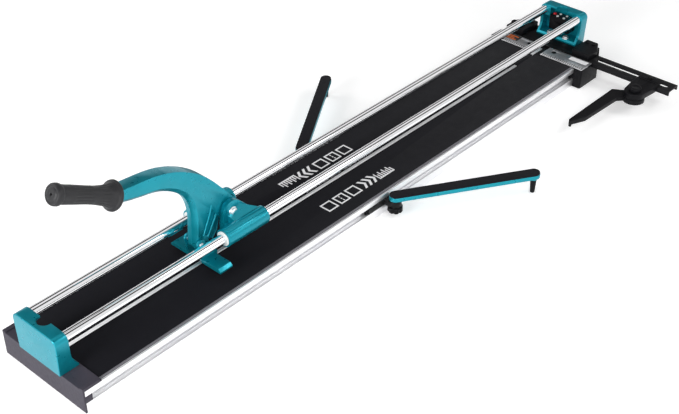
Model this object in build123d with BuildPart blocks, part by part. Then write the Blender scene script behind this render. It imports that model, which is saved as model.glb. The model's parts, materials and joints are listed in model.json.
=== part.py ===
"""Manual tile cutter: an aluminium deck with two chromed rails and a lever carriage.

Frame: +X runs along the rails from the end cap to the measuring fence, +Z is up, and the
origin is the middle of the deck's flat underside.  Units are millimetres.
"""
from build123d import *
import os
from math import atan2, cos, degrees, hypot, radians, sin

os.makedirs("parts", exist_ok=True)

# ------------------------------------------------------------------ driving dimensions
# deck
base_length = 1450.0            # end cap face to the rear of the fence housing
base_half_width = 102.0
beam_half_width = 88.0
beam_wall = 3.0
beam_web_y = 34.0               # inner webs of the hollow beam
beam_top = 40.0
pad_thickness = 4.0
pad_inner_y = 4.2
trim_inner_y = 93.6
trim_outer_y = 97.4
trim_top = 44.8
strip_half_width = 3.6
strip_top = 44.6
strip_far_setback = 74.0        # bright strip stops short of the fence housing
foot_radius = 12.0
foot_thickness = 2.0
foot_y = 66.0
foot_xs = (-560.0, -190.0, 190.0, 560.0)

# side extrusions with a T-slot along the outer face
lip_inner_y = 98.0
lip_top = 43.0
slot_low = 18.4
slot_high = 32.0
cavity_low = 14.5
cavity_high = 36.0
cavity_inner_y = 91.0
cavity_outer_y = 98.0

# end cap
cap_length = 36.0
cap_plate = 3.0
cap_top = 46.0
cap_rim_inner_y = 94.0
cap_rim_top = 48.4
tab_length = 13.0
slot_clearance = 0.3
plug_length = 22.0
plug_clearance = 0.4

# fence housing
housing_solid_length = 76.0     # length left beside the gauge bar's channel
housing_half_width = 121.5
housing_straight = 68.0         # length of the parallel part before the rear corners
housing_rear_half_width = 95.0
housing_wall = 4.0
housing_seat = 45.0             # level that carries the two rules
housing_roof = 33.0             # underside of the solid top

# rails and end brackets
rail_radius = 9.0
rail_y = 41.6
rail_z = 105.0
rail_bore_clearance = 0.1
bracket_overhang = 3.5
bracket_depth_low = 37.0
bracket_depth_top = 23.5
bracket_half_width_low = 51.0
bracket_corner_radius = 12.0
bracket_plate = 5.0
bracket_flange = 8.0
bracket_top_wall = 5.0
bracket_side_wall = 5.0
bracket_flare_low = 50.0
bracket_flare_mid_z = 62.0
bracket_flare_mid_depth = 28.6
bracket_flare_high = 82.0
bracket_flare_depth = 24.6
notch_radius = 14.0
rail_socket_depth = 6.0

# bracket fasteners
bolt_radius = 4.0
bolt_clearance = 0.3
bolt_setback = 29.0
bolt_y = 20.7
bolt_head_radius = 7.5
bolt_head_height = 6.0
bolt_length = 30.0
nut_height = 6.5
thread_clearance = 0.05
set_screw_radius = 2.5
set_screw_setback = 14.0

# carriage
sleeve_x = -373.0               # front face of the two sleeves
sleeve_length = 94.0
sleeve_radius = 16.5
bush_length = 20.0
bush_outer_radius = 12.5
bush_clearance = 0.05
bush_flange_radius = 13.4
bush_flange = 1.5
bridge_half_width = 34.0
bridge_front_x = -352.0
bridge_rear_x = -284.0
bridge_low = 97.0
bridge_top = 112.0
lever_slot_rear_x = -300.0
pivot_x = -329.0
pivot_z = 128.0
pivot_radius = 5.0
running_clearance = 0.05
ear_radius = 20.5
ear_inner_y = 9.6
ear_outer_y = 20.0

# lever
lever_half_width = 13.0
lever_hub_radius = 21.5
lever_hub_half_width = 9.2
lever_relief_radius = 30.0
lever_bevel = 8.0
lever_end_half_height = 12.8
lever_tip_half_width = 9.0

# grip
grip_reach_x = -224.6           # flange centre, measured from the pivot
grip_reach_z = 139.8
grip_rise = 28.5                # degrees above the horizontal
grip_length = 120.0
grip_flange_radius = 25.0
grip_radius = 15.2
grip_waist_radius = 14.2
grip_knob_radius = 17.5
spigot_radius = 8.0
spigot_length = 98.0
grip_bore_clearance = 0.1
vent_radius = 2.0

# breaker foot, hinged on the lever
foot_pin_dx = -73.0
foot_pin_dz = -33.0
foot_pin_radius = 4.0
foot_boss_radius = 10.0
cheek_inner_y = 13.5
cheek_outer_y = 17.5
cheek_radius = 9.0
wing_half_span = 62.0
wing_front = -1.0
wing_rear = 27.0
wing_low = -38.0
wing_thickness = 8.0
foot_bridge_front = 28.0
foot_bridge_rear = 34.0

# scoring wheel
wheel_dx = -58.0
wheel_dz = -56.0
wheel_radius = 11.0
wheel_thickness = 3.0
wheel_side_clearance = 0.5
wheel_bevel = 1.2
axle_radius = 3.0
axle_head_radius = 5.0
axle_head_height = 3.4
fork_radius = 8.5

# measuring rules and centre pointer
rule_width = 40.0
rule_inner_y = 13.0
rule_outer_y = 121.3
rule_thickness = 2.0
rule_hole_radius = 6.0
rule_hole_y = 32.0
rule_hole_setback = 27.0
rule_screw_radius = 2.0
rule_screw_head_radius = 4.4
rule_screw_head_height = 2.4
pointer_front = 13.0            # overhang in front of the housing
pointer_length = 36.0
pointer_half_width = 3.5
pointer_thickness = 3.0

# gauge bar
bar_clearance = 0.3
bar_width = 38.0
bar_rear_setback = 35.0         # from the housing's rear face
bar_top = 48.0
bar_wall = 3.0
bar_low = 37.3
bar_left_y = 115.0
bar_right_y = -309.0
bar_slot_width = 11.0
bar_slot_near_y = -123.0
bar_slot_far_y = -297.0

# guides that hold the gauge bar down
guide_inner_y = 65.0
guide_outer_y = 111.0
guide_front_setback = 70.0
guide_rear_setback = 6.0
guide_corner_x = 37.0           # setback where the rear corner is cut off
guide_corner_y = 94.0
guide_top = 60.0
guide_screw_radius = 2.5
guide_screw_head_radius = 4.5
guide_screw_setback = 20.0
lock_setback = 53.0
lock_y = 98.0
lock_knob_radius = 9.0
lock_knob_height = 6.7
lock_screw_radius = 3.0

# angle gauge on the bar
gauge_pivot_x = 605.0
gauge_pivot_y = -255.0
gauge_hub_radius = 23.0
gauge_arm_low = 28.0
gauge_arm_top = 38.0
gauge_edge_y = 50.0             # straight edge, measured from the pivot towards the deck
gauge_tip_dx = -178.0
gauge_block_gap = 0.4
gauge_block_top = 51.5
gauge_block_radius = 22.0
gauge_block_half_width = 26.0
gauge_bolt_radius = 4.0
gauge_knob_radius = 13.0
gauge_knob_height = 8.2
clamp_y = -253.0
clamp_screw_radius = 3.0
clamp_plate_half = 14.0
clamp_plate_thickness = 3.6

# laser module in the far bracket
laser_depth = 26.5
laser_side_gap = 6.6            # between the module and each rail
laser_low = 66.0
laser_top = 95.0
laser_cover = 2.0
laser_screw_radius = 1.8
laser_screw_y = 8.3
laser_barrel_radius = 5.5
laser_barrel_z = 79.0
laser_barrel_length = 26.0
button_radius = 4.0
button_setback = 6.5            # from the module's side
button_clearance = 0.3
button_travel = 1.5
button_proud = 2.2

# folding support arms
arm_pivot_x = -15.0
arm_pivot_reach = 18.0          # outboard of the deck's side
arm_angle = 32.5                # degrees away from the rails
arm_reach = 276.0
arm_half_width = 11.75
arm_low = 34.0
arm_split = 42.6                # painted bar below, rubber strip above
arm_top = 46.0
arm_strip_inset = 0.5
arm_boss_radius = 7.2
arm_boss_height = 5.0
arm_foot_top_radius = 6.3
arm_foot_low_radius = 4.6
slider_near_x = -70.0
slider_far_x = 0.0
slider_head_clearance = 0.5
slider_lug_radius = 12.0
slider_lug_low = 21.0
arm_gap = 0.4
arm_bolt_radius = 4.0
arm_bolt_head_radius = 8.0
arm_bolt_head_height = 3.0
arm_knob_radius = 14.5
arm_knob_low = 8.0
arm_knob_lobes = 7

# ------------------------------------------------------------------ places worked out
near_x = -base_length / 2
far_x = base_length / 2
beam_near_x = near_x + cap_plate
housing_length = housing_solid_length + bar_width
housing_near_x = far_x - housing_length
pad_near_x = near_x + cap_length
deck_length = housing_near_x - pad_near_x
deck_top = beam_top + pad_thickness
strip_far_x = housing_near_x - strip_far_setback
bracket_outer_x = near_x - bracket_overhang
bracket_top = rail_z + bracket_corner_radius
bolt_near_x = bracket_outer_x + bolt_setback
bolt_under_head = cap_top + bracket_flange
bar_far_x = far_x - bar_rear_setback
bar_near_x = bar_far_x - bar_width
bar_mid_x = (bar_near_x + bar_far_x) / 2
rule_far_x = housing_near_x + rule_width
laser_half_width = rail_y - rail_radius - laser_side_gap
button_y = laser_half_width - button_setback
arm_pivot_y = base_half_width + arm_pivot_reach
rule_hole_x = housing_near_x + rule_hole_setback
pin_x = pivot_x + foot_pin_dx
pin_z = pivot_z + foot_pin_dz
wheel_x = pivot_x + wheel_dx
wheel_z = pivot_z + wheel_dz
grip_x = pivot_x + grip_reach_x
grip_z = pivot_z + grip_reach_z
grip_dir = Vector(-cos(radians(grip_rise)), 0, sin(radians(grip_rise)))
laser_far_x = -bracket_outer_x - bracket_plate
laser_near_x = laser_far_x - laser_depth
lock_x = far_x - lock_setback
along_x = Plane.YZ              # local x is +Y, local y is +Z, normal +X
side_view = Plane.XZ            # local x is +X, local y is +Z, normal -Y
low_align = (Align.CENTER, Align.CENTER, Align.MIN)


def save(piece, name):
    """Label a finished piece and write it to its own file."""
    piece.part.label = name
    export_step(piece.part, f"parts/{name}.step")


def mirrored(piece, plane):
    """Return a builder that holds the mirror image of a piece."""
    with BuildPart() as copy:
        mirror(piece.part, about=plane)
    return copy


def box_between(low, high, mode=Mode.ADD):
    """Add a box given by its lowest and highest corners."""
    with Locations(low):
        Box(high[0] - low[0], high[1] - low[1], high[2] - low[2],
            align=(Align.MIN, Align.MIN, Align.MIN), mode=mode)


def x_cylinder(radius, start_x, end_x, y, z, mode=Mode.ADD):
    """Add a round bar that lies along X."""
    with Locations(Location((start_x, y, z), (0, 90, 0))):
        Cylinder(radius, end_x - start_x, align=low_align, mode=mode)


def y_cylinder(radius, start_y, end_y, x, z, mode=Mode.ADD):
    """Add a round bar that lies along Y."""
    with Locations(Location((x, start_y, z), (-90, 0, 0))):
        Cylinder(radius, end_y - start_y, align=low_align, mode=mode)


def z_cylinder(radius, low, high, x, y, mode=Mode.ADD):
    """Add an upright round bar."""
    with Locations((x, y, low)):
        Cylinder(radius, high - low, align=low_align, mode=mode)


# ------------------------------------------------------------------ deck
def make_base_beam():
    """Hollow three-cell deck beam, closed flat below, with recesses for the rubber feet."""
    cell_height = beam_top - 2 * beam_wall
    centre_cell = 2 * beam_web_y - beam_wall
    side_cell = beam_half_width - beam_wall - beam_web_y - beam_wall / 2
    side_cell_y = beam_web_y + beam_wall / 2 + side_cell / 2
    with BuildPart() as beam:
        with BuildSketch(along_x.offset(beam_near_x)):
            with Locations((0, beam_top / 2)):
                Rectangle(2 * beam_half_width, beam_top)
                Rectangle(centre_cell, cell_height, mode=Mode.SUBTRACT)
            with Locations((-side_cell_y, beam_top / 2), (side_cell_y, beam_top / 2)):
                Rectangle(side_cell, cell_height, mode=Mode.SUBTRACT)
        extrude(amount=housing_near_x - beam_near_x)
        for foot_x in foot_xs:
            for side in (-1, 1):
                z_cylinder(foot_radius, 0, foot_thickness, foot_x, side * foot_y, Mode.SUBTRACT)
        for side in (-1, 1):
            z_cylinder(bolt_radius + bolt_clearance, beam_top - 2 * beam_wall, beam_top,
                       bolt_near_x, side * bolt_y, Mode.SUBTRACT)
    return beam


def make_rubber_feet():
    """Anti-slip discs pressed into the underside."""
    with BuildPart() as feet:
        for foot_x in foot_xs:
            for side in (-1, 1):
                z_cylinder(foot_radius, 0, foot_thickness, foot_x, side * foot_y)
    return feet


def make_side_extrusion():
    """Left side profile with a T-slot along its outer face and a lip beside the trim."""
    outline = [(beam_half_width, 0), (base_half_width, 0), (base_half_width, slot_low),
               (cavity_outer_y, slot_low), (cavity_outer_y, cavity_low),
               (cavity_inner_y, cavity_low), (cavity_inner_y, cavity_high),
               (cavity_outer_y, cavity_high), (cavity_outer_y, slot_high),
               (base_half_width, slot_high), (base_half_width, lip_top),
               (lip_inner_y, lip_top), (lip_inner_y, beam_top), (beam_half_width, beam_top)]
    with BuildPart() as extrusion:
        with BuildSketch(along_x.offset(beam_near_x)):
            with BuildLine():
                Polyline(*outline, close=True)
            make_face()
        extrude(amount=housing_near_x - beam_near_x)
    return extrusion


def make_deck_pad():
    """Left deck pad; past the end of the bright strip it closes up to the middle."""
    closing_x = strip_far_x + 2.0
    seam = 0.2
    with BuildPart() as pad:
        box_between((pad_near_x, pad_inner_y, beam_top), (housing_near_x, trim_inner_y - 0.4, deck_top))
        box_between((closing_x, seam, beam_top), (housing_near_x, pad_inner_y, deck_top))
    return pad


def make_edge_trim():
    """Left grey trim between the pad and the aluminium lip."""
    with BuildPart() as trim:
        box_between((pad_near_x, trim_inner_y, beam_top), (housing_near_x, trim_outer_y, trim_top))
        fillet(trim.edges().filter_by(Axis.X).group_by(Axis.Z)[-1], radius=1.2)
    return trim


def make_centre_strip():
    """Bright breaking strip along the middle of the deck."""
    with BuildPart() as strip:
        box_between((pad_near_x, -strip_half_width, beam_top), (strip_far_x, strip_half_width, strip_top))
        fillet(strip.edges().filter_by(Axis.X).group_by(Axis.Z)[-1], radius=1.4)
    return strip


def make_near_end_cap():
    """Plastic cap over the near end, with rims, T-slot tabs and plugs in the beam's cells."""
    tab_low = slot_low + slot_clearance
    tab_high = slot_high - slot_clearance
    rim_rear_x = pad_near_x - 2.0
    plug_inner_y = beam_web_y + beam_wall / 2 + plug_clearance
    plug_outer_y = beam_half_width - beam_wall - plug_clearance
    plug_low = beam_wall + plug_clearance
    plug_high = beam_top - beam_wall - plug_clearance
    with BuildPart() as cap:
        box_between((near_x, -base_half_width, 0), (beam_near_x, base_half_width, cap_top))
        box_between((beam_near_x, -trim_outer_y, beam_top), (pad_near_x, trim_outer_y, cap_top))
        box_between((beam_near_x, -base_half_width, lip_top), (pad_near_x, base_half_width, cap_top))
        for side in (-1, 1):
            rim_y = side * (cap_rim_inner_y + base_half_width) / 2
            with BuildSketch(Plane.XY.offset(cap_top)):
                with Locations(((near_x + rim_rear_x) / 2, rim_y)):
                    Rectangle(rim_rear_x - near_x, base_half_width - cap_rim_inner_y)
            extrude(amount=cap_rim_top - cap_top)
            tab_y = sorted((side * cavity_outer_y, side * base_half_width))
            box_between((beam_near_x, tab_y[0], tab_low), (beam_near_x + tab_length, tab_y[1], tab_high))
            plug_y = sorted((side * plug_inner_y, side * plug_outer_y))
            box_between((beam_near_x, plug_y[0], plug_low), (beam_near_x + plug_length, plug_y[1], plug_high))
            z_cylinder(bolt_radius + bolt_clearance, beam_top, cap_top, bolt_near_x, side * bolt_y,
                       Mode.SUBTRACT)
        rim_ends = cap.edges().filter_by(Axis.Z).filter_by_position(Axis.Z, cap_top, cap_rim_top)
        rim_ends = rim_ends.filter_by_position(Axis.X, rim_rear_x - 0.1, rim_rear_x + 0.1)
        fillet(rim_ends, radius=3.5)
        fillet(cap.faces().sort_by(Axis.X)[0].edges(), radius=0.8)
    return cap


def make_far_end_housing():
    """Fence housing: seat for the rules, channel for the gauge bar and seat for the bracket."""
    rear_corner_x = housing_near_x + housing_straight
    channel_near_x = bar_near_x - bar_clearance
    channel_far_x = bar_far_x + bar_clearance
    channel_floor = bar_low - bar_clearance
    outline = [(housing_near_x, -housing_half_width), (rear_corner_x, -housing_half_width),
               (far_x, -housing_rear_half_width), (far_x, housing_rear_half_width),
               (rear_corner_x, housing_half_width), (housing_near_x, housing_half_width)]
    plug_inner_y = beam_web_y + beam_wall / 2 + plug_clearance
    plug_outer_y = beam_half_width - beam_wall - plug_clearance
    plug_low = beam_wall + plug_clearance
    plug_high = beam_top - beam_wall - plug_clearance
    with BuildPart() as housing:
        with BuildSketch(Plane.XY):
            Polygon(*outline, align=None)
        extrude(amount=cap_top)
        fillet(housing.edges().filter_by(Axis.Z), radius=4.0)
        with BuildSketch(Plane.XY):
            Polygon(*outline, align=None)
            offset(amount=-housing_wall, mode=Mode.REPLACE)
        extrude(amount=housing_roof, mode=Mode.SUBTRACT)
        box_between((housing_near_x - 1, -housing_half_width - 1, housing_seat),
                    (channel_near_x + 0.1, housing_half_width + 1, cap_top + 1), Mode.SUBTRACT)
        box_between((channel_near_x, -housing_half_width - 1, channel_floor),
                    (channel_far_x, housing_half_width + 1, cap_top + 1), Mode.SUBTRACT)
        box_between((housing_near_x + housing_wall, -housing_wall / 2, 1.0),
                    (far_x - housing_wall, housing_wall / 2, housing_roof))
        for side in (-1, 1):
            plug_y = sorted((side * plug_inner_y, side * plug_outer_y))
            box_between((housing_near_x - plug_length, plug_y[0], plug_low),
                        (housing_near_x, plug_y[1], plug_high))
            z_cylinder(bolt_radius + bolt_clearance, housing_roof, cap_top, -bolt_near_x,
                       side * bolt_y, Mode.SUBTRACT)
            z_cylinder(rule_screw_radius + thread_clearance, housing_roof, housing_seat,
                       rule_hole_x, side * rule_hole_y, Mode.SUBTRACT)
    return housing


# ------------------------------------------------------------------ rails and brackets
def make_near_bracket():
    """Cast end bracket: open towards the rails, with a socket for each rail."""
    top_half = rail_y + bracket_corner_radius
    inner_x = bracket_outer_x + bracket_depth_low
    mouth_x = bracket_outer_x + bracket_depth_top
    with BuildPart() as bracket:
        with BuildSketch(along_x.offset(bracket_outer_x)):
            with BuildLine():
                Polyline((-top_half, rail_z), (-bracket_half_width_low, cap_top),
                         (bracket_half_width_low, cap_top), (top_half, rail_z))
                RadiusArc((top_half, rail_z), (rail_y, bracket_top), -bracket_corner_radius)
                Line((rail_y, bracket_top), (-rail_y, bracket_top))
                RadiusArc((-rail_y, bracket_top), (-top_half, rail_z), -bracket_corner_radius)
            make_face()
        extrude(amount=bracket_depth_low)
        fillet(bracket.faces().sort_by(Axis.X)[0].edges(), radius=1.5)
        with BuildSketch(side_view):
            with BuildLine():
                ThreePointArc((inner_x, bracket_flare_low),
                              (bracket_outer_x + bracket_flare_mid_depth, bracket_flare_mid_z),
                              (bracket_outer_x + bracket_flare_depth, bracket_flare_high))
                Polyline((bracket_outer_x + bracket_flare_depth, bracket_flare_high),
                         (mouth_x, bracket_top + 1), (inner_x + 1, bracket_top + 1),
                         (inner_x + 1, bracket_flare_low), (inner_x, bracket_flare_low))
            make_face()
        extrude(amount=top_half + 1, both=True, mode=Mode.SUBTRACT)
        with BuildSketch(along_x.offset(bracket_outer_x + bracket_plate)):
            low_z = cap_top + bracket_flange
            shoulder_z = rail_z - bracket_corner_radius - 2.0
            side_y = bracket_half_width_low - bracket_side_wall
            roof_z = bracket_top - bracket_top_wall
            middle_y = rail_y - bracket_corner_radius - 1.0
            with BuildLine():
                Polyline((-side_y, low_z), (side_y, low_z), (side_y, shoulder_z), (middle_y, shoulder_z),
                         (middle_y, roof_z), (-middle_y, roof_z), (-middle_y, shoulder_z),
                         (-side_y, shoulder_z), close=True)
            make_face()
        extrude(amount=bracket_depth_low, mode=Mode.SUBTRACT)
        z_cylinder(notch_radius, bracket_top - bracket_top_wall - 1, bracket_top + 1,
                   mouth_x - 1.0, 0, Mode.SUBTRACT)
        for side in (-1, 1):
            x_cylinder(rail_radius + rail_bore_clearance, bracket_outer_x + rail_socket_depth,
                       inner_x, side * rail_y, rail_z, Mode.SUBTRACT)
            z_cylinder(bolt_radius + bolt_clearance, cap_top - 1, low_z, bolt_near_x,
                       side * bolt_y, Mode.SUBTRACT)
            z_cylinder(set_screw_radius + thread_clearance, shoulder_z - 1, rail_z,
                       bracket_outer_x + set_screw_setback, side * rail_y, Mode.SUBTRACT)
    return bracket


def make_rail():
    """Left guide rail, held in both brackets."""
    end_x = -bracket_outer_x - rail_socket_depth
    with BuildPart() as rail:
        x_cylinder(rail_radius, -end_x, end_x, rail_y, rail_z)
        chamfer(rail.edges().filter_by(GeomType.CIRCLE), length=1.0)
    return rail


def make_bracket_bolts():
    """Hexagon bolts that hold each bracket down."""
    with BuildPart() as bolts:
        for end in (-1, 1):
            for side in (-1, 1):
                bolt_x = -end * bolt_near_x
                z_cylinder(bolt_radius, bolt_under_head - bolt_length, bolt_under_head, bolt_x, side * bolt_y)
                with BuildSketch(Plane.XY.offset(bolt_under_head)):
                    with Locations((bolt_x, side * bolt_y)):
                        RegularPolygon(bolt_head_radius, 6)
                extrude(amount=bolt_head_height)
    return bolts


def make_bracket_nuts():
    """Nuts under the deck's top wall and under the housing's top."""
    with BuildPart() as nuts:
        for end, seat_z in ((-1, beam_top - beam_wall), (1, housing_roof)):
            for side in (-1, 1):
                nut_x = -end * bolt_near_x
                with BuildSketch(Plane.XY.offset(seat_z - nut_height)):
                    with Locations((nut_x, side * bolt_y)):
                        RegularPolygon(bolt_head_radius, 6)
                        Circle(bolt_radius + thread_clearance, mode=Mode.SUBTRACT)
                extrude(amount=nut_height)
    return nuts


def make_rail_set_screws():
    """Grub screws that pinch each rail from below in its socket."""
    low_z = rail_z - bracket_corner_radius - 2.0 - 3.0
    with BuildPart() as screws:
        for end in (-1, 1):
            for side in (-1, 1):
                screw_x = -end * (bracket_outer_x + set_screw_setback)
                z_cylinder(set_screw_radius, low_z, rail_z - rail_radius - 0.05, screw_x, side * rail_y)
    return screws


# ------------------------------------------------------------------ laser module
def make_laser_housing():
    """Body of the line laser, bolted inside the far bracket."""
    button_x = (laser_near_x + laser_far_x) / 2
    with BuildPart() as housing:
        box_between((laser_near_x, -laser_half_width, laser_low), (laser_far_x, laser_half_width, laser_top))
        fillet(housing.edges().filter_by(Axis.Z).group_by(Axis.X)[0], radius=4.0)
        x_cylinder(laser_barrel_radius + thread_clearance, laser_near_x - 1,
                   laser_near_x + laser_barrel_length - 6.0, 0, laser_barrel_z, Mode.SUBTRACT)
        z_cylinder(button_radius + button_clearance, laser_top - 6.0, laser_top, button_x, button_y,
                   Mode.SUBTRACT)
    return housing


def make_laser_cover():
    """Lid of the laser module."""
    button_x = (laser_near_x + laser_far_x) / 2
    with BuildPart() as cover:
        box_between((laser_near_x, -laser_half_width, laser_top),
                    (laser_far_x, laser_half_width, laser_top + laser_cover))
        fillet(cover.edges().filter_by(Axis.Z).group_by(Axis.X)[0], radius=4.0)
        z_cylinder(button_radius + button_clearance, laser_top, laser_top + laser_cover, button_x,
                   button_y, Mode.SUBTRACT)
    return cover


def make_laser_screws():
    """Four pan screws in the lid."""
    middle_x = (laser_near_x + laser_far_x) / 2
    with BuildPart() as screws:
        with Locations((middle_x, 0, laser_top + laser_cover)):
            with GridLocations(13.0, 2 * laser_screw_y, 2, 2):
                Cylinder(laser_screw_radius, 1.2, align=low_align)
    return screws


def make_laser_barrel():
    """Brass barrel that carries the laser diode and its lens."""
    with BuildPart() as barrel:
        x_cylinder(laser_barrel_radius, laser_near_x - 5.0, laser_near_x + laser_barrel_length - 6.0,
                   0, laser_barrel_z)
        x_cylinder(3.0, laser_near_x - 5.0, laser_near_x - 3.0, 0, laser_barrel_z, Mode.SUBTRACT)
    return barrel


def make_laser_button():
    """Push switch of the laser."""
    button_x = (laser_near_x + laser_far_x) / 2
    with BuildPart() as button:
        z_cylinder(button_radius, laser_top - 6.0 + button_travel + 0.5,
                   laser_top + laser_cover + button_proud, button_x, button_y)
        fillet(button.edges().filter_by(GeomType.CIRCLE).group_by(Axis.Z)[-1], radius=1.0)
    return button


# ------------------------------------------------------------------ rules, pointer, gauge bar
def make_rule():
    """Left half of the measuring rule."""
    with BuildPart() as rule:
        box_between((housing_near_x, rule_inner_y, housing_seat),
                    (rule_far_x, rule_outer_y, housing_seat + rule_thickness))
        z_cylinder(rule_hole_radius, housing_seat, housing_seat + rule_thickness, rule_hole_x,
                   rule_hole_y, Mode.SUBTRACT)
        chamfer(rule.edges().filter_by(Axis.Y).group_by(Axis.Z)[-1].sort_by(Axis.X)[0], length=1.0)
    return rule


def make_rule_screws():
    """Pan screws seen through the round holes of the rules."""
    with BuildPart() as screws:
        for side in (-1, 1):
            z_cylinder(rule_screw_radius, housing_roof, housing_seat, rule_hole_x, side * rule_hole_y)
            z_cylinder(rule_screw_head_radius, housing_seat, housing_seat + rule_screw_head_height,
                       rule_hole_x, side * rule_hole_y)
    return screws


def make_centre_pointer():
    """Bright marker that shows the cutting line at the fence."""
    with BuildPart() as pointer:
        box_between((housing_near_x - pointer_front, -pointer_half_width, housing_seat),
                    (housing_near_x - pointer_front + pointer_length, pointer_half_width,
                     housing_seat + pointer_thickness))
        chamfer(pointer.edges().filter_by(Axis.X).group_by(Axis.Z)[-1], length=0.8)
    return pointer


def make_gauge_bar():
    """Channel that slides across the housing, slotted for the angle gauge."""
    with BuildPart() as bar:
        box_between((bar_near_x, bar_right_y, bar_low), (bar_far_x, bar_left_y, bar_top))
        fillet(bar.edges().filter_by(Axis.Y).group_by(Axis.Z)[-1], radius=1.2)
        box_between((bar_near_x + bar_wall, bar_right_y, bar_low),
                    (bar_far_x - bar_wall, bar_left_y, bar_top - bar_wall), Mode.SUBTRACT)
        with BuildSketch(Plane.XY.offset(bar_top - bar_wall)):
            with Locations((bar_mid_x, (bar_slot_near_y + bar_slot_far_y) / 2)):
                SlotOverall(bar_slot_near_y - bar_slot_far_y, bar_slot_width, rotation=90)
        extrude(amount=bar_wall, mode=Mode.SUBTRACT)
    return bar


def make_bar_guide(with_lock):
    """Left guide over the gauge bar; the lock screw passes through it."""
    front_x = far_x - guide_front_setback
    rear_x = far_x - guide_rear_setback
    outline = [(front_x, guide_inner_y), (rear_x, guide_inner_y), (rear_x, guide_corner_y),
               (far_x - guide_corner_x, guide_outer_y), (front_x, guide_outer_y)]
    with BuildPart() as guide:
        with BuildSketch(Plane.XY.offset(cap_top)):
            Polygon(*outline, align=None)
        extrude(amount=guide_top - cap_top)
        fillet(guide.edges().filter_by(Axis.Z), radius=4.0)
        fillet(guide.faces().sort_by(Axis.Z)[-1].edges(), radius=2.5)
        box_between((front_x - 1, guide_inner_y - 1, cap_top - 1),
                    (bar_far_x + bar_clearance, guide_outer_y + 1, bar_top + bar_clearance), Mode.SUBTRACT)
        if with_lock:
            z_cylinder(lock_screw_radius + running_clearance, bar_top, guide_top, lock_x, lock_y,
                       Mode.SUBTRACT)
    return guide


def make_guide_screws():
    """Pan screws that fix the two guides to the housing."""
    screw_x = far_x - guide_screw_setback
    screw_ys = (guide_inner_y + 9.0, guide_inner_y + 25.0)
    with BuildPart() as screws:
        for side in (-1, 1):
            for screw_y in screw_ys:
                z_cylinder(guide_screw_head_radius, guide_top, guide_top + 2.2, screw_x, side * screw_y)
    return screws


def make_bar_lock_knob():
    """Thumb screw that pinches the gauge bar."""
    low_z = guide_top + bar_clearance
    with BuildPart() as knob:
        z_cylinder(lock_knob_radius, low_z, low_z + lock_knob_height, lock_x, lock_y)
        with Locations((lock_x, lock_y, low_z)):
            with PolarLocations(lock_knob_radius + 0.6, 10):
                Cylinder(1.6, lock_knob_height, align=low_align, mode=Mode.SUBTRACT)
        z_cylinder(lock_screw_radius, bar_top + bar_clearance, low_z, lock_x, lock_y)
    return knob


# ------------------------------------------------------------------ angle gauge
def make_gauge_block():
    """Block that rides on the gauge bar and carries the swinging arm."""
    block_low = gauge_arm_top + gauge_block_gap
    rear_x = bar_mid_x + 6.0
    step_x = bar_near_x - bar_clearance
    front_points = [(rear_x, gauge_pivot_y - gauge_block_half_width),
                    (rear_x, gauge_pivot_y + gauge_block_half_width),
                    (step_x - 12.0, gauge_pivot_y + gauge_block_half_width),
                    (gauge_pivot_x, gauge_pivot_y + gauge_block_radius),
                    (gauge_pivot_x, gauge_pivot_y - gauge_block_radius),
                    (step_x - 12.0, gauge_pivot_y - gauge_block_half_width)]
    with BuildPart() as block:
        with BuildSketch(Plane.XY.offset(block_low)):
            Polygon(*front_points, align=None)
            with Locations((gauge_pivot_x, gauge_pivot_y)):
                Circle(gauge_block_radius)
        extrude(amount=gauge_block_top - block_low)
        fillet(block.faces().sort_by(Axis.Z)[-1].edges(), radius=1.5)
        box_between((step_x, gauge_pivot_y - gauge_block_half_width - 1, block_low - 1),
                    (rear_x + 1, gauge_pivot_y + gauge_block_half_width + 1, bar_top + bar_clearance),
                    Mode.SUBTRACT)
        z_cylinder(gauge_bolt_radius + thread_clearance, block_low, gauge_block_top, gauge_pivot_x,
                   gauge_pivot_y, Mode.SUBTRACT)
        z_cylinder(clamp_screw_radius + thread_clearance, bar_top, gauge_block_top, bar_mid_x,
                   clamp_y, Mode.SUBTRACT)
    return block


def make_gauge_clamp_screw():
    """Plate under the gauge bar with a screw up through the slot into the block."""
    plate_top = bar_top - bar_wall - bar_clearance
    with BuildPart() as screw:
        box_between((bar_mid_x - clamp_plate_half, clamp_y - clamp_plate_half, plate_top - clamp_plate_thickness),
                    (bar_mid_x + clamp_plate_half, clamp_y + clamp_plate_half, plate_top))
        z_cylinder(clamp_screw_radius, plate_top, gauge_block_top, bar_mid_x, clamp_y)
        z_cylinder(clamp_screw_radius + 2.6, gauge_block_top, gauge_block_top + 3.0, bar_mid_x, clamp_y)
    return screw


def make_gauge_arm():
    """Swinging fence arm with a straight edge towards the deck."""
    def place(dx, dy):
        return (gauge_pivot_x + dx, gauge_pivot_y + dy)
    outline = [place(-5, gauge_edge_y), place(gauge_tip_dx + 8, gauge_edge_y),
               place(gauge_tip_dx, gauge_edge_y - 5), place(gauge_tip_dx + 37, gauge_edge_y - 21),
               place(-29, gauge_edge_y - 26), place(-17, 14), place(15, 16)]
    with BuildPart() as arm:
        with BuildSketch(Plane.XY.offset(gauge_arm_low)):
            Polygon(*outline, align=None)
            with Locations((gauge_pivot_x, gauge_pivot_y)):
                Circle(gauge_hub_radius)
        extrude(amount=gauge_arm_top - gauge_arm_low)
        fillet(arm.faces().sort_by(Axis.Z)[-1].edges(), radius=1.0)
        tip = place(gauge_tip_dx + 6, gauge_edge_y - 5)
        z_cylinder(3.0, gauge_arm_low - 4.0, gauge_arm_low, tip[0], tip[1])
        z_cylinder(gauge_bolt_radius + running_clearance, gauge_arm_low, gauge_arm_top, gauge_pivot_x,
                   gauge_pivot_y, Mode.SUBTRACT)
    return arm


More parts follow.
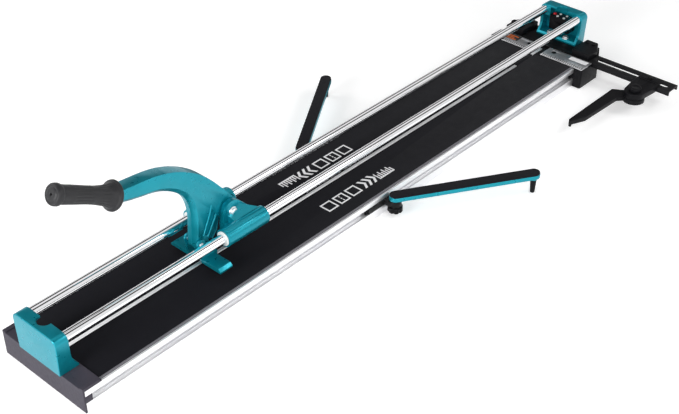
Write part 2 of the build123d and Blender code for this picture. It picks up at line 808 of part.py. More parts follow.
def make_gauge_bolt():
    """Bolt that joins arm, block and knob."""
    with BuildPart() as bolt:
        z_cylinder(gauge_bolt_radius, gauge_arm_low - 0.3, gauge_block_top + gauge_knob_height - 1.0,
                   gauge_pivot_x, gauge_pivot_y)
        z_cylinder(gauge_bolt_radius * 2, gauge_arm_low - 3.3, gauge_arm_low - 0.3, gauge_pivot_x,
                   gauge_pivot_y)
    return bolt


def make_gauge_knob():
    """Lobed knob that locks the angle."""
    low_z = gauge_block_top + gauge_block_gap
    with BuildPart() as knob:
        z_cylinder(gauge_knob_radius, low_z, low_z + gauge_knob_height, gauge_pivot_x, gauge_pivot_y)
        with Locations((gauge_pivot_x, gauge_pivot_y, low_z)):
            with PolarLocations(gauge_knob_radius + 1.2, 8):
                Cylinder(2.6, gauge_knob_height, align=low_align, mode=Mode.SUBTRACT)
        fillet(knob.faces().sort_by(Axis.Z)[-1].edges(), radius=1.0)
        z_cylinder(gauge_bolt_radius + running_clearance, low_z, gauge_block_top + gauge_knob_height - 0.6,
                   gauge_pivot_x, gauge_pivot_y, Mode.SUBTRACT)
    return knob


# ------------------------------------------------------------------ carriage
def make_carriage_casting():
    """Two sleeves joined by a bridge, with ears for the lever's pivot."""
    sleeve_end_x = sleeve_x + sleeve_length
    with BuildPart() as casting:
        for side in (-1, 1):
            x_cylinder(sleeve_radius, sleeve_x, sleeve_end_x, side * rail_y, rail_z)
        box_between((bridge_front_x, -bridge_half_width, bridge_low),
                    (bridge_rear_x, bridge_half_width, bridge_top))
        for ear_plane_y in (ear_inner_y, -ear_outer_y):
            with BuildSketch(side_view.offset(ear_plane_y)):
                with Locations((pivot_x, pivot_z)):
                    Circle(ear_radius)
                Polygon((bridge_front_x, bridge_low + 4), (bridge_rear_x, bridge_low + 4),
                        (bridge_rear_x, bridge_top), (pivot_x + 14.5, pivot_z + 14.5),
                        (pivot_x - 20.4, pivot_z), align=None)
            extrude(amount=ear_outer_y - ear_inner_y)
        box_between((sleeve_x - 1, -ear_inner_y, bridge_low - 1),
                    (lever_slot_rear_x, ear_inner_y, pivot_z + 2 * ear_radius), Mode.SUBTRACT)
        for side in (-1, 1):
            x_cylinder(bush_outer_radius, sleeve_x, sleeve_end_x, side * rail_y, rail_z, Mode.SUBTRACT)
        y_cylinder(pivot_radius + thread_clearance, -ear_outer_y - 1, ear_outer_y + 1, pivot_x, pivot_z,
                   Mode.SUBTRACT)
    return casting


def make_rail_bushes():
    """Four flanged plastic bushes that run on the rails."""
    sleeve_end_x = sleeve_x + sleeve_length
    with BuildPart() as bushes:
        for side in (-1, 1):
            y = side * rail_y
            x_cylinder(bush_outer_radius, sleeve_x, sleeve_x + bush_length, y, rail_z)
            x_cylinder(bush_flange_radius, sleeve_x - bush_flange, sleeve_x, y, rail_z)
            x_cylinder(bush_outer_radius, sleeve_end_x - bush_length, sleeve_end_x, y, rail_z)
            x_cylinder(bush_flange_radius, sleeve_end_x, sleeve_end_x + bush_flange, y, rail_z)
            x_cylinder(rail_radius + bush_clearance, sleeve_x - 2 * bush_flange,
                       sleeve_end_x + 2 * bush_flange, y, rail_z, Mode.SUBTRACT)
    return bushes


def make_pivot_bolt():
    """Bolt that the lever turns on, with its head on the near side."""
    with BuildPart() as bolt:
        y_cylinder(pivot_radius, -ear_outer_y, ear_outer_y + 9.0, pivot_x, pivot_z)
        y_cylinder(8.0, -ear_outer_y - 4.5, -ear_outer_y, pivot_x, pivot_z)
        fillet(bolt.edges().filter_by(GeomType.CIRCLE).group_by(Axis.Y)[0], radius=1.5)
        with BuildSketch(side_view.offset(ear_outer_y + 2.5)):
            with Locations((pivot_x, pivot_z)):
                RegularPolygon(3.4, 6)
        extrude(amount=2.5, mode=Mode.SUBTRACT)
    return bolt


def make_pivot_nut():
    """Lock nut on the far side of the pivot."""
    with BuildPart() as nut:
        with BuildSketch(side_view.offset(-ear_outer_y - 7.0)):
            with Locations((pivot_x, pivot_z)):
                RegularPolygon(8.5, 6)
                Circle(pivot_radius + thread_clearance, mode=Mode.SUBTRACT)
        extrude(amount=7.0)
    return nut


# ------------------------------------------------------------------ lever and grip
def grip_point(along, across):
    """Return the side-view point at a distance along the grip's axis and above it."""
    rise = radians(grip_rise)
    return (grip_x - along * cos(rise) + across * sin(rise),
            grip_z + along * sin(rise) + across * cos(rise))


def make_lever():
    """Arched lever casting: hub on the pivot, fork for the wheel, spigot for the grip."""
    def place(dx, dz):
        return (pivot_x + dx, pivot_z + dz)
    end_top = grip_point(-3.0, lever_end_half_height)
    end_low = grip_point(-3.0, -lever_end_half_height)
    hub_top = place(lever_hub_radius * 0.755, lever_hub_radius * 0.656)
    hub_low = place(-lever_hub_radius * cos(radians(25)), -lever_hub_radius * sin(radians(25)))
    with BuildPart() as lever:
        with BuildSketch(side_view):
            with BuildLine():
                Spline(end_top, place(-131, 138), place(-59, 100), hub_top,
                       tangents=((1, -0.12), (0.656, -0.755)))
                ThreePointArc(hub_top, place(lever_hub_radius * cos(radians(-65)),
                                             lever_hub_radius * sin(radians(-65))), hub_low)
                Polyline(hub_low, place(-31, 6), place(-53, -30), place(wheel_dx + fork_radius, wheel_dz))
                ThreePointArc(place(wheel_dx + fork_radius, wheel_dz), place(wheel_dx, wheel_dz - fork_radius),
                              place(wheel_dx - fork_radius, wheel_dz))
                Polyline(place(wheel_dx - fork_radius, wheel_dz), place(foot_pin_dx - 6.0, foot_pin_dz - 8.0),
                         place(foot_pin_dx - foot_boss_radius, foot_pin_dz))
                Spline(place(foot_pin_dx - foot_boss_radius, foot_pin_dz), place(-79.5, 30),
                       place(-92, 70), place(-132, 102), end_low,
                       tangents=((0.05, 1), (-0.95, 0.3)))
                Line(end_low, end_top)
            make_face()
        extrude(amount=lever_half_width, both=True)
        inner_edges = lever.edges().filter_by(GeomType.BSPLINE)
        inner_edges = inner_edges.filter_by(lambda edge: abs(abs(edge.center().Y) - lever_half_width) < 0.1)
        inner_edges = inner_edges.sort_by(SortBy.LENGTH)[:2]
        chamfer(inner_edges, length=lever_bevel)
        for plane_y in (lever_hub_half_width, -lever_half_width - 1):
            with BuildSketch(side_view.offset(plane_y)):
                with Locations(place(0, 0)):
                    Circle(lever_relief_radius)
            extrude(amount=lever_half_width + 1 - lever_hub_half_width, mode=Mode.SUBTRACT)
        tip_low = place(wheel_dx, wheel_dz)
        for side_y in (-lever_half_width - 1, lever_tip_half_width):
            box_between((tip_low[0] - 30, side_y, tip_low[1] - 20),
                        (tip_low[0] + 20, side_y + lever_half_width + 1 - lever_tip_half_width,
                         tip_low[1] + 11), Mode.SUBTRACT)
        slot_half = wheel_thickness / 2 + wheel_side_clearance
        y_cylinder(wheel_radius + 2.0, -slot_half, slot_half, wheel_x, wheel_z, Mode.SUBTRACT)
        y_cylinder(axle_radius + thread_clearance, -lever_half_width, lever_half_width, wheel_x, wheel_z,
                   Mode.SUBTRACT)
        y_cylinder(foot_pin_radius + running_clearance, -lever_half_width - 1, lever_half_width + 1,
                   pin_x, pin_z, Mode.SUBTRACT)
        y_cylinder(pivot_radius + running_clearance, -lever_half_width - 1, lever_half_width + 1,
                   pivot_x, pivot_z, Mode.SUBTRACT)
        start = grip_point(-14.0, 0)
        with BuildSketch(Plane(origin=(start[0], 0, start[1]), z_dir=grip_dir)):
            Circle(spigot_radius)
        extrude(amount=spigot_length + 14.0)
    return lever


def make_grip():
    """Rubber grip with a hand stop, a waist and an end knob."""
    def place(along, across):
        return grip_point(along, across)
    with BuildPart() as grip:
        with BuildSketch(side_view):
            with BuildLine():
                Polyline(place(-3, 0), place(-3, grip_flange_radius - 2), place(-1, grip_flange_radius),
                         place(2, grip_flange_radius), place(5, grip_flange_radius - 3.5), place(10, 19))
                Spline(place(10, 19), place(22, 15.6), place(50, grip_waist_radius),
                       place(grip_length - 14, grip_radius))
                Polyline(place(grip_length - 14, grip_radius), place(grip_length - 11, grip_knob_radius),
                         place(grip_length - 4, grip_knob_radius), place(grip_length, grip_knob_radius - 4),
                         place(grip_length, 0), place(-3, 0))
            make_face()
        revolve(axis=Axis((grip_x, 0, grip_z), grip_dir))
        mouth = grip_point(-3.0, 0)
        with BuildSketch(Plane(origin=(mouth[0], 0, mouth[1]), z_dir=grip_dir)):
            Circle(spigot_radius + grip_bore_clearance)
        extrude(amount=spigot_length + 4.0, mode=Mode.SUBTRACT)
        with BuildSketch(Plane(origin=(mouth[0], 0, mouth[1]), z_dir=grip_dir)):
            Circle(vent_radius)
        extrude(amount=grip_length + 6.0, mode=Mode.SUBTRACT)
    return grip


def make_scoring_wheel():
    """Carbide wheel with a two-sided cutting edge."""
    half = wheel_thickness / 2
    with BuildPart() as wheel:
        y_cylinder(wheel_radius, -half, half, wheel_x, wheel_z)
        chamfer(wheel.edges().filter_by(GeomType.CIRCLE), length=wheel_bevel)
        y_cylinder(axle_radius + running_clearance, -half, half, wheel_x, wheel_z, Mode.SUBTRACT)
    return wheel


def make_wheel_axle():
    """Shoulder screw and nut that carry the scoring wheel."""
    with BuildPart() as axle:
        y_cylinder(axle_radius, -lever_tip_half_width, lever_tip_half_width, wheel_x, wheel_z)
        y_cylinder(axle_head_radius, -lever_tip_half_width - axle_head_height, -lever_tip_half_width,
                   wheel_x, wheel_z)
        y_cylinder(axle_head_radius, lever_tip_half_width, lever_tip_half_width + axle_head_height,
                   wheel_x, wheel_z)
    return axle


def make_breaker_foot():
    """Winged foot that presses on both halves of a scored tile."""
    low_z = pin_z + wing_low
    top_z = low_z + wing_thickness
    with BuildPart() as foot:
        for plane_y in (cheek_inner_y, -cheek_outer_y):
            with BuildSketch(side_view.offset(plane_y)):
                with Locations((pin_x, pin_z)):
                    Circle(cheek_radius)
                Polygon((pin_x - 8.8, pin_z - 2), (pin_x + wing_front, low_z),
                        (pin_x + foot_bridge_rear, low_z), (pin_x + foot_bridge_rear, top_z),
                        (pin_x + 8.4, pin_z + 3), align=None)
            extrude(amount=cheek_outer_y - cheek_inner_y)
        for side in (-1, 1):
            wing_y = sorted((side * cheek_inner_y, side * wing_half_span))
            box_between((pin_x + wing_front, wing_y[0], low_z), (pin_x + wing_rear, wing_y[1], top_z))
        box_between((pin_x + foot_bridge_front, -cheek_inner_y - 1, low_z),
                    (pin_x + foot_bridge_rear, cheek_inner_y + 1, top_z))
        tips = foot.edges().filter_by(Axis.X).filter_by_position(Axis.Z, top_z - 0.1, top_z + 0.1)
        tips = tips.filter_by(lambda edge: abs(edge.center().Y) > wing_half_span - 1)
        chamfer(tips, length=5.0)
        y_cylinder(foot_pin_radius + thread_clearance, -cheek_outer_y - 1, cheek_outer_y + 1, pin_x, pin_z,
                   Mode.SUBTRACT)
    return foot


def make_foot_pin():
    """Pin that the breaker foot hangs on."""
    with BuildPart() as pin:
        y_cylinder(foot_pin_radius, -cheek_outer_y - 1.5, cheek_outer_y + 1.5, pin_x, pin_z)
        chamfer(pin.edges().filter_by(GeomType.CIRCLE), length=0.6)
    return pin


# ------------------------------------------------------------------ support arms
def arm_point(along, across=0.0):
    """Return the plan point at a distance along the left arm and to its outer side."""
    turn = radians(arm_angle)
    return (arm_pivot_x + along * cos(turn) - across * sin(turn),
            arm_pivot_y + along * sin(turn) + across * cos(turn))


def make_arm_slider():
    """T-slot slider with the lug that carries the left arm."""
    head_low = cavity_low + slider_head_clearance
    head_high = cavity_high - slider_head_clearance
    neck_low = slot_low + slider_head_clearance
    neck_high = slot_high - slider_head_clearance
    lug_top = arm_low - arm_gap
    with BuildPart() as slider:
        box_between((slider_near_x, cavity_inner_y + slider_head_clearance, head_low),
                    (slider_far_x, cavity_outer_y - slider_head_clearance, head_high))
        box_between((slider_near_x, cavity_outer_y - slider_head_clearance, neck_low),
                    (slider_far_x, base_half_width + 0.6, neck_high))
        box_between((arm_pivot_x - slider_lug_radius, base_half_width + 0.5, slider_lug_low),
                    (arm_pivot_x + slider_lug_radius, arm_pivot_y, neck_high))
        z_cylinder(slider_lug_radius, slider_lug_low, lug_top, arm_pivot_x, arm_pivot_y)
        z_cylinder(arm_bolt_radius + thread_clearance, slider_lug_low, lug_top, arm_pivot_x, arm_pivot_y,
                   Mode.SUBTRACT)
    return slider


def make_arm_bolt():
    """Carriage bolt through arm, lug and knob."""
    head_low = arm_split - arm_bolt_head_height - 0.3
    with BuildPart() as bolt:
        z_cylinder(arm_bolt_radius, arm_knob_low + 1.0, head_low, arm_pivot_x, arm_pivot_y)
        z_cylinder(arm_bolt_head_radius, head_low, head_low + arm_bolt_head_height, arm_pivot_x, arm_pivot_y)
    return bolt


def make_arm_bar():
    """Painted bar of the left arm, recessed for the bolt's head."""
    middle = arm_point(arm_reach / 2)
    tip = arm_point(arm_reach)
    with BuildPart() as bar:
        with BuildSketch(Plane.XY.offset(arm_low)):
            with Locations(middle):
                SlotCenterToCenter(arm_reach, 2 * arm_half_width, rotation=arm_angle)
        extrude(amount=arm_split - arm_low)
        z_cylinder(arm_boss_radius, arm_low - arm_boss_height, arm_low, tip[0], tip[1])
        z_cylinder(arm_bolt_radius + running_clearance, arm_low, arm_split, arm_pivot_x, arm_pivot_y,
                   Mode.SUBTRACT)
        z_cylinder(arm_bolt_head_radius + 0.3, arm_split - arm_bolt_head_height - 0.6, arm_split,
                   arm_pivot_x, arm_pivot_y, Mode.SUBTRACT)
    return bar


def make_arm_strip():
    """Rubber strip glued along the top of the left arm."""
    middle = arm_point(arm_reach / 2)
    with BuildPart() as strip:
        with BuildSketch(Plane.XY.offset(arm_split)):
            with Locations(middle):
                SlotCenterToCenter(arm_reach, 2 * (arm_half_width - arm_strip_inset), rotation=arm_angle)
        extrude(amount=arm_top - arm_split)
        fillet(strip.faces().sort_by(Axis.Z)[-1].edges(), radius=1.0)
    return strip


def make_arm_foot():
    """Tapered plastic leg under the tip of the left arm."""
    tip = arm_point(arm_reach)
    with BuildPart() as leg:
        with Locations((tip[0], tip[1], 0)):
            Cone(arm_foot_low_radius, arm_foot_top_radius, arm_low - arm_boss_height, align=low_align)
    return leg


def make_arm_knob():
    """Lobed knob that clamps the left slider."""
    top_z = slider_lug_low - 0.5
    height = top_z - arm_knob_low
    with BuildPart() as knob:
        z_cylinder(arm_knob_radius, arm_knob_low, top_z, arm_pivot_x, arm_pivot_y)
        with Locations((arm_pivot_x, arm_pivot_y, arm_knob_low)):
            with PolarLocations(arm_knob_radius + 1.5, arm_knob_lobes):
                Cylinder(3.4, height, align=low_align, mode=Mode.SUBTRACT)
        fillet(knob.faces().sort_by(Axis.Z)[0].edges(), radius=1.0)
        z_cylinder(arm_bolt_radius + running_clearance, arm_knob_low, top_z, arm_pivot_x, arm_pivot_y,
                   Mode.SUBTRACT)
    return knob


# ------------------------------------------------------------------ build and write
single_pieces = {
    "base_beam": make_base_beam,
    "rubber_feet": make_rubber_feet,
    "centre_strip": make_centre_strip,
    "near_end_cap": make_near_end_cap,
    "far_end_housing": make_far_end_housing,
    "bracket_bolts": make_bracket_bolts,
    "bracket_nuts": make_bracket_nuts,
    "rail_set_screws": make_rail_set_screws,
    "laser_housing": make_laser_housing,
    "laser_cover": make_laser_cover,
    "laser_screws": make_laser_screws,
    "laser_barrel": make_laser_barrel,
    "laser_button": make_laser_button,
    "rule_screws": make_rule_screws,
    "centre_pointer": make_centre_pointer,
    "gauge_bar": make_gauge_bar,
    "guide_screws": make_guide_screws,
    "bar_lock_knob": make_bar_lock_knob,
    "gauge_block": make_gauge_block,
    "gauge_clamp_screw": make_gauge_clamp_screw,
    "gauge_arm": make_gauge_arm,
    "gauge_bolt": make_gauge_bolt,
    "gauge_knob": make_gauge_knob,
    "carriage_casting": make_carriage_casting,
    "rail_bushes": make_rail_bushes,
    "pivot_bolt": make_pivot_bolt,
    "pivot_nut": make_pivot_nut,
    "lever": make_lever,
    "grip": make_grip,
    "scoring_wheel": make_scoring_wheel,
    "wheel_axle": make_wheel_axle,
    "breaker_foot": make_breaker_foot,
    "foot_pin": make_foot_pin,
}
for piece_name, make_piece in single_pieces.items():
    save(make_piece(), piece_name)

paired_pieces = {
    "side_extrusion": make_side_extrusion,
    "deck_pad": make_deck_pad,
    "edge_trim": make_edge_trim,
    "rail": make_rail,
    "rule": make_rule,
    "arm_slider": make_arm_slider,
    "arm_bolt": make_arm_bolt,
    "arm_bar": make_arm_bar,
    "arm_strip": make_arm_strip,
    "arm_foot": make_arm_foot,
    "arm_knob": make_arm_knob,
}
for piece_name, make_piece in paired_pieces.items():
    left_piece = make_piece()
    save(left_piece, f"{piece_name}_left")
    save(mirrored(left_piece, Plane.XZ), f"{piece_name}_right")

near_bracket = make_near_bracket()
save(near_bracket, "near_bracket")
save(mirrored(near_bracket, Plane.YZ), "far_bracket")
save(make_bar_guide(with_lock=True), "bar_guide_left")
save(mirrored(make_bar_guide(with_lock=False), Plane.XZ), "bar_guide_right")
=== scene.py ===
"""Studio model of a manual tile cutter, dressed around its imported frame.

Every sub-assembly of the cutter is a class that holds its sizes and builds its own pieces.
Lengths in the dataclass fields are millimetres in the row frame; meshes are in metres.
"""

import json
import logging
import math
from dataclasses import dataclass
from enum import Enum
from typing import Callable, Iterable, Optional, Sequence

import bmesh
import bpy
from mathutils import Matrix, Vector

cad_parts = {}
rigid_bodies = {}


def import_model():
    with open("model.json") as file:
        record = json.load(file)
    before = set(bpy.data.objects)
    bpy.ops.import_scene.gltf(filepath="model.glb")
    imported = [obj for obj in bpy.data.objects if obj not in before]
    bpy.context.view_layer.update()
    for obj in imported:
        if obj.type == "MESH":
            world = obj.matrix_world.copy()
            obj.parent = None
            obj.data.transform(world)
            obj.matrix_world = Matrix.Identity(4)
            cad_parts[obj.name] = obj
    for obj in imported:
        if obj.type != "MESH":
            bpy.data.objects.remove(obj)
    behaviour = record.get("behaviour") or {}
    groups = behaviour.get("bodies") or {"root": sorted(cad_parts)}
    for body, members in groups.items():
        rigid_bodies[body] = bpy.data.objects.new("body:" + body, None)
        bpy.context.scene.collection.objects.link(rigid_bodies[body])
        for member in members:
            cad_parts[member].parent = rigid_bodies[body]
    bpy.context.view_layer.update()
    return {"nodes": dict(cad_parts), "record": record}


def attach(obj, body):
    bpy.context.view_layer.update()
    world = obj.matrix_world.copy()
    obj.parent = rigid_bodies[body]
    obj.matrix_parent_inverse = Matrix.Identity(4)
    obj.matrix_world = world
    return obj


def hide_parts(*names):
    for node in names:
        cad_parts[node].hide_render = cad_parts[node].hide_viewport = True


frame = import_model()

LOG = logging.getLogger("tile_cutter")
MM = 0.001
SINK = 0.05  # how far a print or label is sunk into its face
Point2 = tuple[float, float]
Point3 = tuple[float, float, float]
Colour = tuple[float, float, float]


class Side(Enum):
    """The two long sides of the cutter, seen from the grip."""

    LEFT = 1
    RIGHT = -1

    @property
    def word(self) -> str:
        """Return the side's name as node names spell it."""
        return self.name.lower()


class Slot(Enum):
    """The record's material slots."""

    TEAL = "teal"
    BLACK_PLASTIC = "black_plastic"
    GREY_PLASTIC = "grey_plastic"
    PAD_RUBBER = "pad_rubber"
    GRIP_RUBBER = "grip_rubber"
    ALUMINIUM = "alu"
    CHROME = "chrome"
    STEEL = "steel"
    BRASS = "brass"
    RED_PLASTIC = "red_plastic"
    TRIM_PLASTIC = "trim_plastic"
    BLACK_METAL = "black_metal"
    RULE_FACE = "rule_black"
    BUSH_PLASTIC = "bush_plastic"


def linked(name: str, data: Optional[bpy.types.ID]) -> bpy.types.Object:
    """Return a new object with this data, linked to the scene."""
    obj = bpy.data.objects.new(name, data)
    bpy.context.scene.collection.objects.link(obj)
    return obj


class NodeSheet:
    """Short calls for building a node tree."""

    tree: bpy.types.NodeTree

    def node(self, kind: str, **settings: object) -> bpy.types.Node:
        """Add a node of a type and set attributes on it."""
        made = self.tree.nodes.new(kind)
        for key, value in settings.items():
            setattr(made, key, value)
        return made

    def join(self, source: bpy.types.NodeSocket, target: bpy.types.NodeSocket) -> None:
        """Link one socket to another."""
        self.tree.links.new(source, target)

    def feed(self, step: bpy.types.Node, *operands: object) -> bpy.types.NodeSocket:
        """Give a node its operands in order, sockets or numbers, and return its first output."""
        for index, operand in enumerate(operands):
            if isinstance(operand, bpy.types.NodeSocket):
                self.join(operand, step.inputs[index])
            else:
                step.inputs[index].default_value = operand
        return step.outputs[0]


# --------------------------------------------------------------------------- finishes
class ShaderSheet(NodeSheet):
    """One material's node tree, with short calls for the nodes the finishes use."""

    def __init__(self, name: str) -> None:
        """Start a material.

        Args:
            name: The material's name.
        """
        self.material = bpy.data.materials.new(name)
        self.material.use_nodes = True
        self.tree = self.material.node_tree
        self.shader = next(n for n in self.tree.nodes if n.type == "BSDF_PRINCIPLED")
        self.place = self.node("ShaderNodeTexCoord").outputs["Object"]

    def stretched(self, stretch: Point3) -> bpy.types.NodeSocket:
        """Return object coordinates scaled along each axis."""
        mapping = self.node("ShaderNodeMapping")
        mapping.inputs["Scale"].default_value = stretch
        self.join(self.place, mapping.inputs["Vector"])
        return mapping.outputs["Vector"]

    def noise(self, scale: float, detail: float = 3.0, stretch: Point3 = (1, 1, 1)) -> bpy.types.NodeSocket:
        """Add a noise field.

        Args:
            scale: Features per metre.
            detail: Octaves.
            stretch: Extra scale along each axis.

        Returns:
            The noise's factor socket.
        """
        field = self.node("ShaderNodeTexNoise")
        field.inputs["Scale"].default_value = scale
        field.inputs["Detail"].default_value = detail
        self.join(self.stretched(stretch), field.inputs["Vector"])
        return field.outputs["Fac"]

    def cells(self, scale: float) -> bpy.types.NodeSocket:
        """Return the distance field of a cell pattern with this many cells per metre."""
        field = self.node("ShaderNodeTexVoronoi")
        field.inputs["Scale"].default_value = scale
        self.join(self.place, field.inputs["Vector"])
        return field.outputs["Distance"]

    def spread(self, value: bpy.types.NodeSocket, low: float, high: float) -> bpy.types.NodeSocket:
        """Map the middle of a 0 to 1 field onto a range."""
        remap = self.node("ShaderNodeMapRange")
        remap.inputs["From Min"].default_value = 0.3
        remap.inputs["From Max"].default_value = 0.7
        remap.inputs["To Min"].default_value = low
        remap.inputs["To Max"].default_value = high
        self.join(value, remap.inputs["Value"])
        return remap.outputs["Result"]

    def blend(self, amount: bpy.types.NodeSocket, first: Colour, second: Colour) -> bpy.types.NodeSocket:
        """Mix two colours by a field."""
        ramp = self.node("ShaderNodeValToRGB")
        ramp.color_ramp.elements[0].position = 0.3
        ramp.color_ramp.elements[0].color = (*first, 1.0)
        ramp.color_ramp.elements[1].position = 0.7
        ramp.color_ramp.elements[1].color = (*second, 1.0)
        self.join(amount, ramp.inputs["Fac"])
        return ramp.outputs["Color"]

    def relief(self, heights: Iterable[tuple[bpy.types.NodeSocket, float, float]]) -> None:
        """Chain bumps into the shader's normal.

        Args:
            heights: For each layer its field, its strength and its depth in metres.
        """
        last: Optional[bpy.types.NodeSocket] = None
        for height, strength, depth in heights:
            bump = self.node("ShaderNodeBump")
            bump.inputs["Strength"].default_value = strength
            bump.inputs["Distance"].default_value = depth
            self.join(height, bump.inputs["Height"])
            if last is not None:
                self.join(last, bump.inputs["Normal"])
            last = bump.outputs["Normal"]
        if last is not None:
            self.join(last, self.shader.inputs["Normal"])

    def colour(self, scale: float, detail: float, first: Colour, second: Colour,
               stretch: Point3 = (1, 1, 1)) -> None:
        """Mottle the base colour between two colours by a noise field."""
        field = self.noise(scale, detail, stretch)
        self.join(self.blend(field, first, second), self.shader.inputs["Base Color"])

    def gloss(self, field: bpy.types.NodeSocket, low: float, high: float) -> None:
        """Vary the roughness between two values by a field."""
        self.join(self.spread(field, low, high), self.shader.inputs["Roughness"])

    def fix(self, **values: float) -> None:
        """Set constant values on the shader's own sockets, named with underscores for spaces."""
        for key, value in values.items():
            self.shader.inputs[key.replace("_", " ")].default_value = value


@dataclass(frozen=True)
class EnamelFinish:
    """Glossy paint on a casting: slight mottling and an orange-peel skin."""

    name: str
    colour: Colour
    shade: Colour
    roughness: float = 0.30
    metallic: float = 0.6
    coat: float = 0.1
    peel: float = 0.02

    def build(self) -> bpy.types.Material:
        """Return the enamel as a material."""
        sheet = ShaderSheet(self.name)
        sheet.colour(28.0, 4.0, self.shade, self.colour)
        sheet.gloss(sheet.noise(95.0, 3.0), self.roughness - 0.04, self.roughness + 0.05)
        sheet.relief([(sheet.noise(110.0, 1.0), self.peel, 0.0003)])
        sheet.fix(Metallic=self.metallic, Coat_Weight=self.coat, Coat_Roughness=0.12, Coat_IOR=1.5)
        return sheet.material


@dataclass(frozen=True)
class MetalFinish:
    """Bare or plated metal with drawn, turned or ground streaks."""

    name: str
    colour: Colour
    shade: Colour
    roughness: float
    streaks: Point3 = (1.0, 1.0, 1.0)
    streak_scale: float = 60.0
    streak_depth: float = 0.0
    spread: float = 0.05
    anisotropy: float = 0.0

    def build(self) -> bpy.types.Material:
        """Return the metal as a material."""
        sheet = ShaderSheet(self.name)
        lines = sheet.noise(self.streak_scale, 5.0, self.streaks)
        sheet.colour(14.0, 3.0, self.shade, self.colour)
        sheet.gloss(lines, max(0.02, self.roughness - self.spread), self.roughness + self.spread)
        if self.streak_depth > 0:
            sheet.relief([(lines, self.streak_depth, 0.0001)])
        sheet.fix(Metallic=1.0, Anisotropic=self.anisotropy)
        return sheet.material


@dataclass(frozen=True)
class MouldedFinish:
    """Moulded plastic with a fine spark-eroded texture."""

    name: str
    colour: Colour
    shade: Colour
    roughness: float = 0.45
    texture_scale: float = 1500.0
    texture: float = 0.25
    coat: float = 0.0
    specular: float = 0.4

    def build(self) -> bpy.types.Material:
        """Return the plastic as a material."""
        sheet = ShaderSheet(self.name)
        sheet.colour(22.0, 4.0, self.shade, self.colour)
        sheet.gloss(sheet.noise(160.0, 3.0), self.roughness - 0.05, self.roughness + 0.06)
        sheet.relief([(sheet.cells(self.texture_scale), self.texture, 0.00012),
                      (sheet.noise(300.0, 2.0), self.texture * 0.4, 0.0002)])
        sheet.fix(Coat_Weight=self.coat, Coat_Roughness=0.2, Specular_IOR_Level=self.specular)
        return sheet.material


@dataclass(frozen=True)
class RubberFinish:
    """Matt rubber or foam sheet with a pebbled grain and a faint bloom."""

    name: str
    colour: Colour
    shade: Colour
    roughness: float = 0.62
    grain_scale: float = 1100.0
    grain: float = 0.45
    sheen: float = 0.05
    specular: float = 0.25

    def build(self) -> bpy.types.Material:
        """Return the rubber as a material."""
        sheet = ShaderSheet(self.name)
        sheet.colour(9.0, 5.0, self.shade, self.colour, (1.0, 2.2, 2.2))
        sheet.gloss(sheet.noise(45.0, 4.0), self.roughness - 0.05, self.roughness + 0.05)
        sheet.relief([(sheet.cells(self.grain_scale), self.grain, 0.00015),
                      (sheet.noise(self.grain_scale * 2.0, 2.0), self.grain, 0.00008)])
        sheet.fix(Sheen_Weight=self.sheen, Sheen_Roughness=0.5, Specular_IOR_Level=self.specular)
        return sheet.material


@dataclass(frozen=True)
class InkFinish:
    """Screen-printed ink with a slightly uneven film."""

    name: str
    colour: Colour
    shade: Colour
    roughness: float = 0.5

    def build(self) -> bpy.types.Material:
        """Return the ink as a material."""
        sheet = ShaderSheet(self.name)
        sheet.colour(180.0, 4.0, self.shade, self.colour)
        sheet.gloss(sheet.noise(400.0, 2.0), self.roughness - 0.08, self.roughness + 0.08)
        sheet.relief([(sheet.noise(900.0, 2.0), 0.2, 0.00005)])
        return sheet.material


ALONG_X = (0.003, 1.0, 1.0)
FINISHES = {
    Slot.TEAL: EnamelFinish("teal_enamel", (0.001, 0.285, 0.365), (0.001, 0.260, 0.335)),
    Slot.BLACK_PLASTIC: MouldedFinish("black_moulding", (0.0050, 0.0050, 0.0062), (0.0040, 0.0040, 0.0050),
                                      0.42, specular=0.11),
    Slot.GREY_PLASTIC: MouldedFinish("charcoal_moulding", (0.052, 0.047, 0.062), (0.044, 0.040, 0.053), 0.5,
                                     specular=0.15),
    Slot.PAD_RUBBER: RubberFinish("deck_foam_rubber", (0.0070, 0.0070, 0.0098), (0.0058, 0.0058, 0.0082),
                                  specular=0.05),
    Slot.GRIP_RUBBER: RubberFinish("grip_rubber", (0.0130, 0.0130, 0.0150), (0.0100, 0.0100, 0.0120), 0.5,
                                   900.0, 0.3, 0.08, 0.35),
    Slot.ALUMINIUM: MetalFinish("drawn_aluminium", (0.93, 0.93, 0.94), (0.88, 0.88, 0.90), 0.44, ALONG_X,
                                900.0),
    Slot.CHROME: MetalFinish("chrome_plate", (0.93, 0.93, 0.94), (0.89, 0.89, 0.91), 0.05, ALONG_X, 500.0,
                             0.0, 0.02),
    Slot.STEEL: MetalFinish("zinc_plated_steel", (0.93, 0.93, 0.94), (0.86, 0.87, 0.88), 0.42),
    Slot.BRASS: MetalFinish("turned_brass", (0.80, 0.58, 0.26), (0.70, 0.48, 0.20), 0.26),
    Slot.RED_PLASTIC: MouldedFinish("red_switch_plastic", (0.60, 0.010, 0.014), (0.48, 0.008, 0.012), 0.25,
                                    1500.0, 0.1, 0.4),
    Slot.TRIM_PLASTIC: MouldedFinish("grey_trim", (0.15, 0.15, 0.165), (0.12, 0.12, 0.135), 0.4),
    Slot.BLACK_METAL: EnamelFinish("black_powder_coat", (0.0050, 0.0050, 0.0062), (0.0040, 0.0040, 0.0050),
                                   0.46, 0.65, 0.0, 0.2),
    Slot.RULE_FACE: MetalFinish("rule_aluminium", (0.66, 0.66, 0.68), (0.60, 0.60, 0.62), 0.42,
                                (1, 0.02, 1), 900.0),
    Slot.BUSH_PLASTIC: MouldedFinish("bush_nylon", (0.66, 0.68, 0.67), (0.58, 0.60, 0.59), 0.4),
}
WHITE_INK = InkFinish("white_print", (0.84, 0.84, 0.85), (0.76, 0.76, 0.78))
